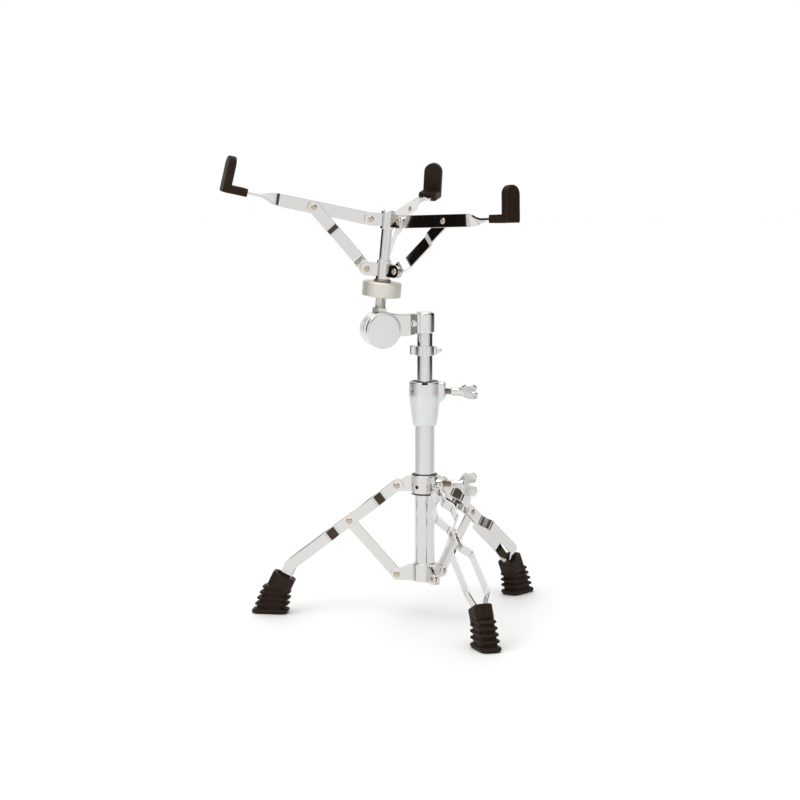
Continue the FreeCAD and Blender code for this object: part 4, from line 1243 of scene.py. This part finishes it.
class BasketParts(Assembly):
    """The rod, nuts, hubs, three arms with braces and rubber tips."""

    def build(self) -> None:
        """Makes every piece of the basket."""
        b = BASKET
        place = basket_frame()
        rod = joined([threaded(b.rod_radius, b.rod_span[0], 61.0, 1.5, 0.4, 72),
                      bar(b.rod_radius, 60.9, b.rod_span[1], 1.0, 96)])
        self.add("basket_centre_rod", rod.placed(place), Finishes.TUBE, "tilter_head", ["basket_rod"])
        self.build_nuts(place)
        for name, span, pivot, body in (("lower", b.lower_hub, b.lower_pivot, "lower_hub"),
                                        ("upper", b.upper_hub, b.upper_pivot, "tilter_head")):
            self.build_hub(name, span, pivot, body, place)
        tip = self.tip()
        for number, heading in enumerate(b.headings, 1):
            self.build_arm(number, place @ rotation(heading, "Z"), tip)
        discarded(tip)

    def build_nuts(self, place: Matrix) -> None:
        """Makes the hexagon jam nut, the large round nut and its washer.

        Args:
            place: the basket's frame.
        """
        b = BASKET
        corner = b.jam_flats / math.sqrt(3)
        angle = np.radians(np.arange(6) * 60.0 + TILTER.heading)
        hexagon = rounded(np.stack([corner * np.cos(angle), corner * np.sin(angle)], 1), 0.8, True, 2)
        self.add("jam_nut_hexagon", plate(hexagon, *b.jam_span, 0.6).placed(place), Finishes.FASTENER,
                 "tilter_head", ["rod_jam_nut"])
        low, high = b.nut_span
        line = rounded([(7.05, low), (23.0, low), (b.nut_radius, low + 1.2), (b.nut_radius, high - 1.2),
                        (23.0, high),
                        (10.4, high), (9.6, high - 0.8), (7.05, high - 0.8)],
                       (0.4, 0.8, 0.9, 0.9, 0.8, 0.3, 0.3, 0.3), True, 4)
        self.add("basket_round_nut", lathe(line, 160, loop=True).placed(place), Finishes.FROSTED,
                 "basket_nut",
                 ["basket_nut"])
        self.add("hub_washer_ring", pipe(10.9, 7.3, high + 0.3, b.lower_hub[0], 0.5).placed(place),
                 Finishes.THREAD, "lower_hub", ["hub_washer"])

    def build_hub(self, name: str, span: tuple[float, float], pivot: float, body: str, place: Matrix) -> None:
        """Makes a hub sleeve with its cheeks and rivets.

        Args:
            name: "lower" or "upper".
            span: bottom and top of the sleeve.
            pivot: height of the arm pivots.
            body: CAD body it moves with.
            place: the basket's frame.
        """
        b = BASKET
        bore = b.rod_radius + (0.06 if name == "lower" else 0.0)
        shapes = [pipe(b.hub_radius, bore, *span, 0.7, 96)]
        x = b.pivot_radius
        line = rounded([(7.5, pivot - 8), (x + 8, pivot - 8), (x + 8, pivot + 8), (7.5, pivot + 8)],
                       (0, 7.95, 7.95, 0),
                       True, 9)
        inner = b.arm_thickness / 2 + 0.3
        pins = []
        for heading in b.headings:
            turn = rotation(heading, "Z")
            for side in (1, -1):
                cheek = upright(plate(line, -1.0, 1.0, 0.45)).placed(shift(0, side * (inner + 1.0), 0))
                shapes.append(cheek.placed(turn))
                head = rivet_head().placed(shift(x, side * (inner + 2.0), pivot) @ rotation(-90 * side, "X"))
                pins.append(head.placed(turn))
            shank = bar(2.5, -inner - 1, inner + 1, 0.1, 24).placed(shift(x, 0, pivot) @ rotation(90, "X"))
            pins.append(shank.placed(turn))
        self.add(name + "_hub_body", joined(shapes).placed(place), Finishes.STRAP, body, [name + "_hub"])
        self.add(name + "_hub_rivet_heads", joined(pins).placed(place), Finishes.RIVET, body,
                 [name + "_hub_rivets"])

    def arm_point(self, distance: float) -> tuple[float, float]:
        """Point on an arm's centre line.

        Args:
            distance: distance from its hub pivot.

        Returns:
            Radius and height in the basket's frame.
        """
        a = math.radians(BASKET.arm_slope)
        return (BASKET.pivot_radius + distance * math.cos(a), BASKET.upper_pivot + distance * math.sin(a))

    def twist_end(self) -> tuple[float, float]:
        """Where the arm's quarter twist ends.

        Returns:
            Radius and height in the basket's frame.
        """
        b = BASKET
        x, z = self.arm_point(b.arm_flat)
        a = math.radians(b.twist_slope)
        return (x + b.arm_twist * math.cos(a), z + b.arm_twist * math.sin(a))

    def arm(self) -> Shape:
        """Arm strap: flat on edge, a quarter twist, then lying flat.

        Returns:
            The arm, in the plane of its heading.
        """
        b = BASKET
        half = b.arm_width / 2
        ends = half - half * np.cos(np.linspace(0.05, math.pi / 2, 10))
        share = np.linspace(0, 1, 41)
        stations = np.concatenate([-half + ends, np.arange(4, b.arm_flat - 2, 4.0)])
        widths = np.concatenate([round_end_widths(stations, 0.0, 1e3, half), np.full(41 + 6, half)])
        flat = np.array([self.arm_point(s) for s in stations])
        start = np.array(self.arm_point(b.arm_flat))
        end = np.array(self.twist_end())
        twist = start + (end - start) * share[:, None]
        tip = math.radians(b.tip_slope)
        tail = end + np.array([math.cos(tip), math.sin(tip)]) * np.linspace(4, 35.5, 6)[:, None]
        line = np.concatenate([flat, twist, tail])
        roll = np.radians(90.0) * np.concatenate([np.zeros(len(flat)), 3 * share ** 2 - 2 * share ** 3,
                                                  np.ones(6)])
        slope = np.radians(np.concatenate([np.full(len(flat), b.arm_slope),
                                           b.arm_slope + (b.tip_slope - b.arm_slope) * share,
                                           np.full(6, b.tip_slope)]))
        centres = np.stack([line[:, 0], np.zeros(len(line)), line[:, 1]], 1)
        up = np.stack([-np.sin(slope), np.zeros(len(slope)), np.cos(slope)], 1)
        side = np.tile([0.0, 1.0, 0.0], (len(slope), 1))
        cos, sin = np.cos(roll)[:, None], np.sin(roll)[:, None]
        across = up * cos - side * sin
        normal = side * cos + up * sin
        return strap_skin(centres, across, normal, widths, b.arm_thickness, 0.5)

    def tip(self) -> bpy.types.Object:
        """Moulded L on the arm's end: a leg and an arched wall.

        Returns:
            The tip of an arm that points along X, in the basket's frame.
        """
        x, z = self.twist_end()
        place = shift(x, 0, z) @ rotation(-BASKET.tip_slope, "Y")
        leg = rounded([(14.0, -11.5), (44.8, -11.5), (44.8, 11.5), (14.0, 11.5)], (1.2, 2.0, 2.0, 1.2),
                      True, 4)
        arch = np.linspace(0, math.pi, 25)
        top = np.stack([11.5 * np.cos(arch), 28.5 + 11.5 * np.sin(arch)], 1)
        wall_line = np.concatenate([np.array([(-11.5, -3.6), (-10.2, -4.9), (10.2, -4.9), (11.5, -3.6)]),
                                    top])
        wall = plate(wall_line, -5.0, 5.0, 1.4, 4)
        stand = Matrix(((0, 0, 1, 39.9), (1, 0, 0, 0), (0, 1, 0, 0), (0, 0, 0, 1)))
        adds = [plate(leg, -5.0, 5.0, 1.0, 4).placed(place), wall.placed(place @ stand)]
        return cast("tip_pattern", adds, [], Finishes.RUBBER.value, 0.4, 3)

    def strut(self) -> Shape:
        """Basket brace, stepped out from the hub to lie beside the arm.

        Returns:
            The brace with its rivet head, in the plane of the arm's heading.
        """
        b = BASKET
        x0, z0 = b.pivot_radius, b.lower_pivot
        x1, z1 = self.arm_point(b.arm_pivot)
        length = math.hypot(x1 - x0, z1 - z0)
        half = b.strut_width / 2
        bow = b.strut_side + 3.6
        ends = half - half * np.cos(np.linspace(0.05, math.pi / 2, 10))
        stations = np.concatenate([-half + ends, np.arange(1.0, length, 1.0), (length + half - ends)[::-1]])
        knots = ((-20, 0), (11.0, 0), (19.0, bow), (length - 40.0, bow), (length - 33.0, b.strut_side),
                 (200, b.strut_side))
        side = softened(stations, knots, 4.0)
        centres = np.stack([stations, side, np.zeros(len(stations))], 1)
        tangent = np.gradient(centres, axis=0)
        tangent /= np.linalg.norm(tangent, axis=1, keepdims=True)
        across = np.tile([0.0, 0.0, 1.0], (len(stations), 1))
        normal = np.cross(across, tangent)
        shape = strap_skin(centres, across, normal, round_end_widths(stations, 0.0, length, half), 3.0, 0.5)
        slope = math.degrees(math.atan2(z1 - z0, x1 - x0))
        return shape.placed(shift(x0, 0, z0) @ rotation(-slope, "Y"))

    def build_arm(self, number: int, place: Matrix, tip: bpy.types.Object) -> None:
        """Makes one arm with its tip, brace and rivet.

        Args:
            number: arm number, from 1.
            place: frame of the arm's heading.
            tip: the rubber tip to copy.
        """
        b = BASKET
        self.add(f"basket_arm_{number}", self.arm().placed(place), Finishes.STRAP, f"arm_{number}",
                 [f"arm_{number}"])
        x, z = self.arm_point(b.arm_pivot)
        head = rivet_head().placed(place @ shift(x, -1.5, z) @ rotation(90, "X"))
        self.add(f"arm_{number}_rivet_head", head, Finishes.RIVET, f"arm_{number}", [f"arm_rivet_{number}"])
        self.tie(copied(f"arm_{number}_rubber", tip, place), Finishes.RUBBER, f"arm_{number}",
                 [f"arm_tip_{number}"])
        self.add(f"basket_brace_{number}", self.strut().placed(place), Finishes.STRAP,
                 f"arm_brace_{number}", [f"arm_brace_{number}"])
        far = rivet_head().placed(place @ shift(x, 4.8, z) @ rotation(-90, "X"))
        self.add(f"brace_{number}_rivet_head", far, Finishes.RIVET, f"arm_brace_{number}")


# --------------------------------------------------------------------------------------
# Studio
# --------------------------------------------------------------------------------------
# Places in metres, angles in degrees, the lens in millimetres.
SCRIM_ENERGY = 1.26
SCRIM_SPOT = (-0.4, -0.6, 2.5)
BOX_SIZE = 1.4
BOX_ENERGY = 5.0
BOX_SPOT = (-1.3, -1.6, 1.9)
AIM_POINT = (0, 0, 0.3)
EYE_SPOT = (0.0, -3.5104, 0.7555)
EYE_TILT = 7.756
EYE_TURN = 0.506
LENS_LENGTH = 127.4


class Studio:
    """Pale floor, white surround with dark flags, soft lights and the camera."""

    def build(self) -> None:
        """Makes the stage."""
        self.surround()
        self.floor()
        self.lights()
        self.camera()

    def ramp(self, tree: bpy.types.NodeTree, value: bpy.types.NodeSocket,
             stops: Sequence[tuple[float, str]]) -> bpy.types.NodeSocket:
        """Colour ramp from a value.

        Args:
            tree: node tree.
            value: socket that drives the ramp.
            stops: (position, hex colour) pairs.

        Returns:
            The ramp's colour socket.
        """
        node = add_node(tree, "ShaderNodeValToRGB", {"Fac": value})
        node.color_ramp.interpolation = "EASE"
        while len(node.color_ramp.elements) < len(stops):
            node.color_ramp.elements.new(0.5)
        for element, (position, code) in zip(node.color_ramp.elements, stops):
            element.position = position
            element.color = srgb(code)
        return node.outputs["Color"]

    def blend(self, tree: bpy.types.NodeTree, factor: bpy.types.NodeSocket, low: bpy.types.NodeSocket,
              high: str) -> bpy.types.NodeSocket:
        """Mixes a colour toward a plain one.

        Args:
            tree: node tree.
            factor: share of the plain colour.
            low: colour at factor zero.
            high: hex colour at factor one.

        Returns:
            The mixed colour socket.
        """
        node = add_node(tree, "ShaderNodeMix", data_type="RGBA")
        tree.links.new(factor, node.inputs["Factor"])
        tree.links.new(low, node.inputs["A"])
        node.inputs["B"].default_value = srgb(high)
        return node.outputs["Result"]

    def surround(self) -> None:
        """White room: dark flags at both sides, a dim band above the front, white low and high."""
        world = bpy.data.worlds.new("studio_surround")
        bpy.context.scene.world = world
        world.use_nodes = True
        tree = world.node_tree
        tree.nodes.clear()
        out = add_node(tree, "ShaderNodeOutputWorld")
        back = add_node(tree, "ShaderNodeBackground")
        tree.links.new(back.outputs[0], out.inputs["Surface"])
        direction = add_node(tree, "ShaderNodeTexCoord").outputs["Generated"]
        parts = add_node(tree, "ShaderNodeSeparateXYZ", {"Vector": direction})
        forward = add_node(tree, "ShaderNodeMath", {0: parts.outputs["Y"], 1: -1.0}, operation="MULTIPLY")
        turn = add_node(tree, "ShaderNodeMath", {0: parts.outputs["X"], 1: forward.outputs[0]},
                        operation="ARCTAN2")
        share = add_node(tree, "ShaderNodeMapRange",
                         {"Value": turn.outputs[0], "From Min": -math.pi, "From Max": math.pi})
        sides = self.ramp(tree, share.outputs[0], Studio.side_stops())
        height = add_node(tree, "ShaderNodeMapRange",
                          {"Value": parts.outputs["Z"], "From Min": -1.0, "From Max": 1.0})
        band = self.ramp(tree, height.outputs[0],
                         ((0.66, "000000"), (0.71, "ffffff"), (0.80, "ffffff"), (0.86, "000000")))
        front = self.ramp(tree, share.outputs[0],
                          ((0.15, "000000"), (0.19, "ffffff"), (0.81, "ffffff"), (0.85, "000000")))
        dim = add_node(tree, "ShaderNodeMath", {0: band, 1: front}, operation="MULTIPLY")
        lofty = self.ramp(tree, height.outputs[0], ((0.84, "000000"), (0.92, "ffffff")))
        colour = self.blend(tree, dim.outputs[0], sides, "54493f")
        colour = self.blend(tree, lofty, colour, "ffffff")
        low = self.ramp(tree, height.outputs[0], ((0.432, "e2e2e2"), (0.438, "000000")))
        colour = self.blend(tree, low, colour, "ffffff")
        tree.links.new(colour, back.inputs["Color"])
        back.inputs["Strength"].default_value = 1.0

    @staticmethod
    def side_stops() -> tuple[tuple[float, str], ...]:
        """Colours of the room around the horizon: 0 and 1 behind the stand, 0.5 at the camera.

        Returns:
            (position, hex colour) pairs, mirrored about the camera.
        """
        half = ((0.0, "ffffff"), (0.120, "ffffff"), (0.140, "2a2420"), (0.268, "15110f"), (0.298, "c8c5c1"),
                (0.40, "ffffff"), (0.49, "f4f3f1"))
        return half + tuple((1.0 - position, code) for position, code in reversed(half))

    def floor(self) -> None:
        """Pale floor sheet: narrow beside the stand, spreading toward the back to fill the view."""
        paint = Finish("matt_white_sweep", "", "fafafa", 0.0, 0.6)
        wide, near, bend = 1000.0, -5000.0, 600.0
        spread, far = 1900.0, 7000.0
        mesh = bpy.data.meshes.new("floor")
        corners = ((-wide, near), (wide, near), (wide, bend), (spread, far), (-spread, far), (-wide, bend))
        mesh.from_pydata([(x * MM, y * MM, 0) for x, y in corners], [], [tuple(range(6))])
        mesh.materials.append(paint.material())
        sheet = bpy.data.objects.new("floor", mesh)
        bpy.context.scene.collection.objects.link(sheet)

    def lights(self) -> None:
        """Even light from a broad overhead scrim, and a soft box from the front left."""
        scrim = bpy.data.lights.new("overhead_scrim", "SUN")
        scrim.energy = SCRIM_ENERGY
        scrim.angle = math.radians(70)
        box = bpy.data.lights.new("key_box", "AREA")
        box.size = BOX_SIZE
        box.energy = BOX_ENERGY
        for lamp, spot in ((scrim, SCRIM_SPOT), (box, BOX_SPOT)):
            obj = bpy.data.objects.new(lamp.name, lamp)
            obj.location = spot
            aim = Vector(AIM_POINT) - Vector(spot)
            obj.rotation_euler = aim.to_track_quat("-Z", "Y").to_euler()
            bpy.context.scene.collection.objects.link(obj)

    def camera(self) -> None:
        """Long-lens camera, a little above the stand."""
        lens = bpy.data.cameras.new("camera")
        lens.sensor_width = 36.0
        lens.lens = LENS_LENGTH
        lens.clip_end = 50.0
        eye = bpy.data.objects.new("camera", lens)
        eye.location = EYE_SPOT
        eye.rotation_euler = (math.radians(90 - EYE_TILT), 0.0, math.radians(EYE_TURN))
        bpy.context.scene.collection.objects.link(eye)
        bpy.context.scene.camera = eye


def main() -> None:
    """Builds the stand and the studio."""
    logging.basicConfig(level=logging.INFO)
    builders: list[Assembly] = [ColumnParts(), LegParts(), TilterParts(), BasketParts()]
    for builder in builders:
        builder.build()
        log.info("%s: %d pieces", type(builder).__name__, len(builder.made))
    Studio().build()
    bpy.context.scene.view_settings.view_transform = "Standard"


if __name__ == "__main__":
    main()
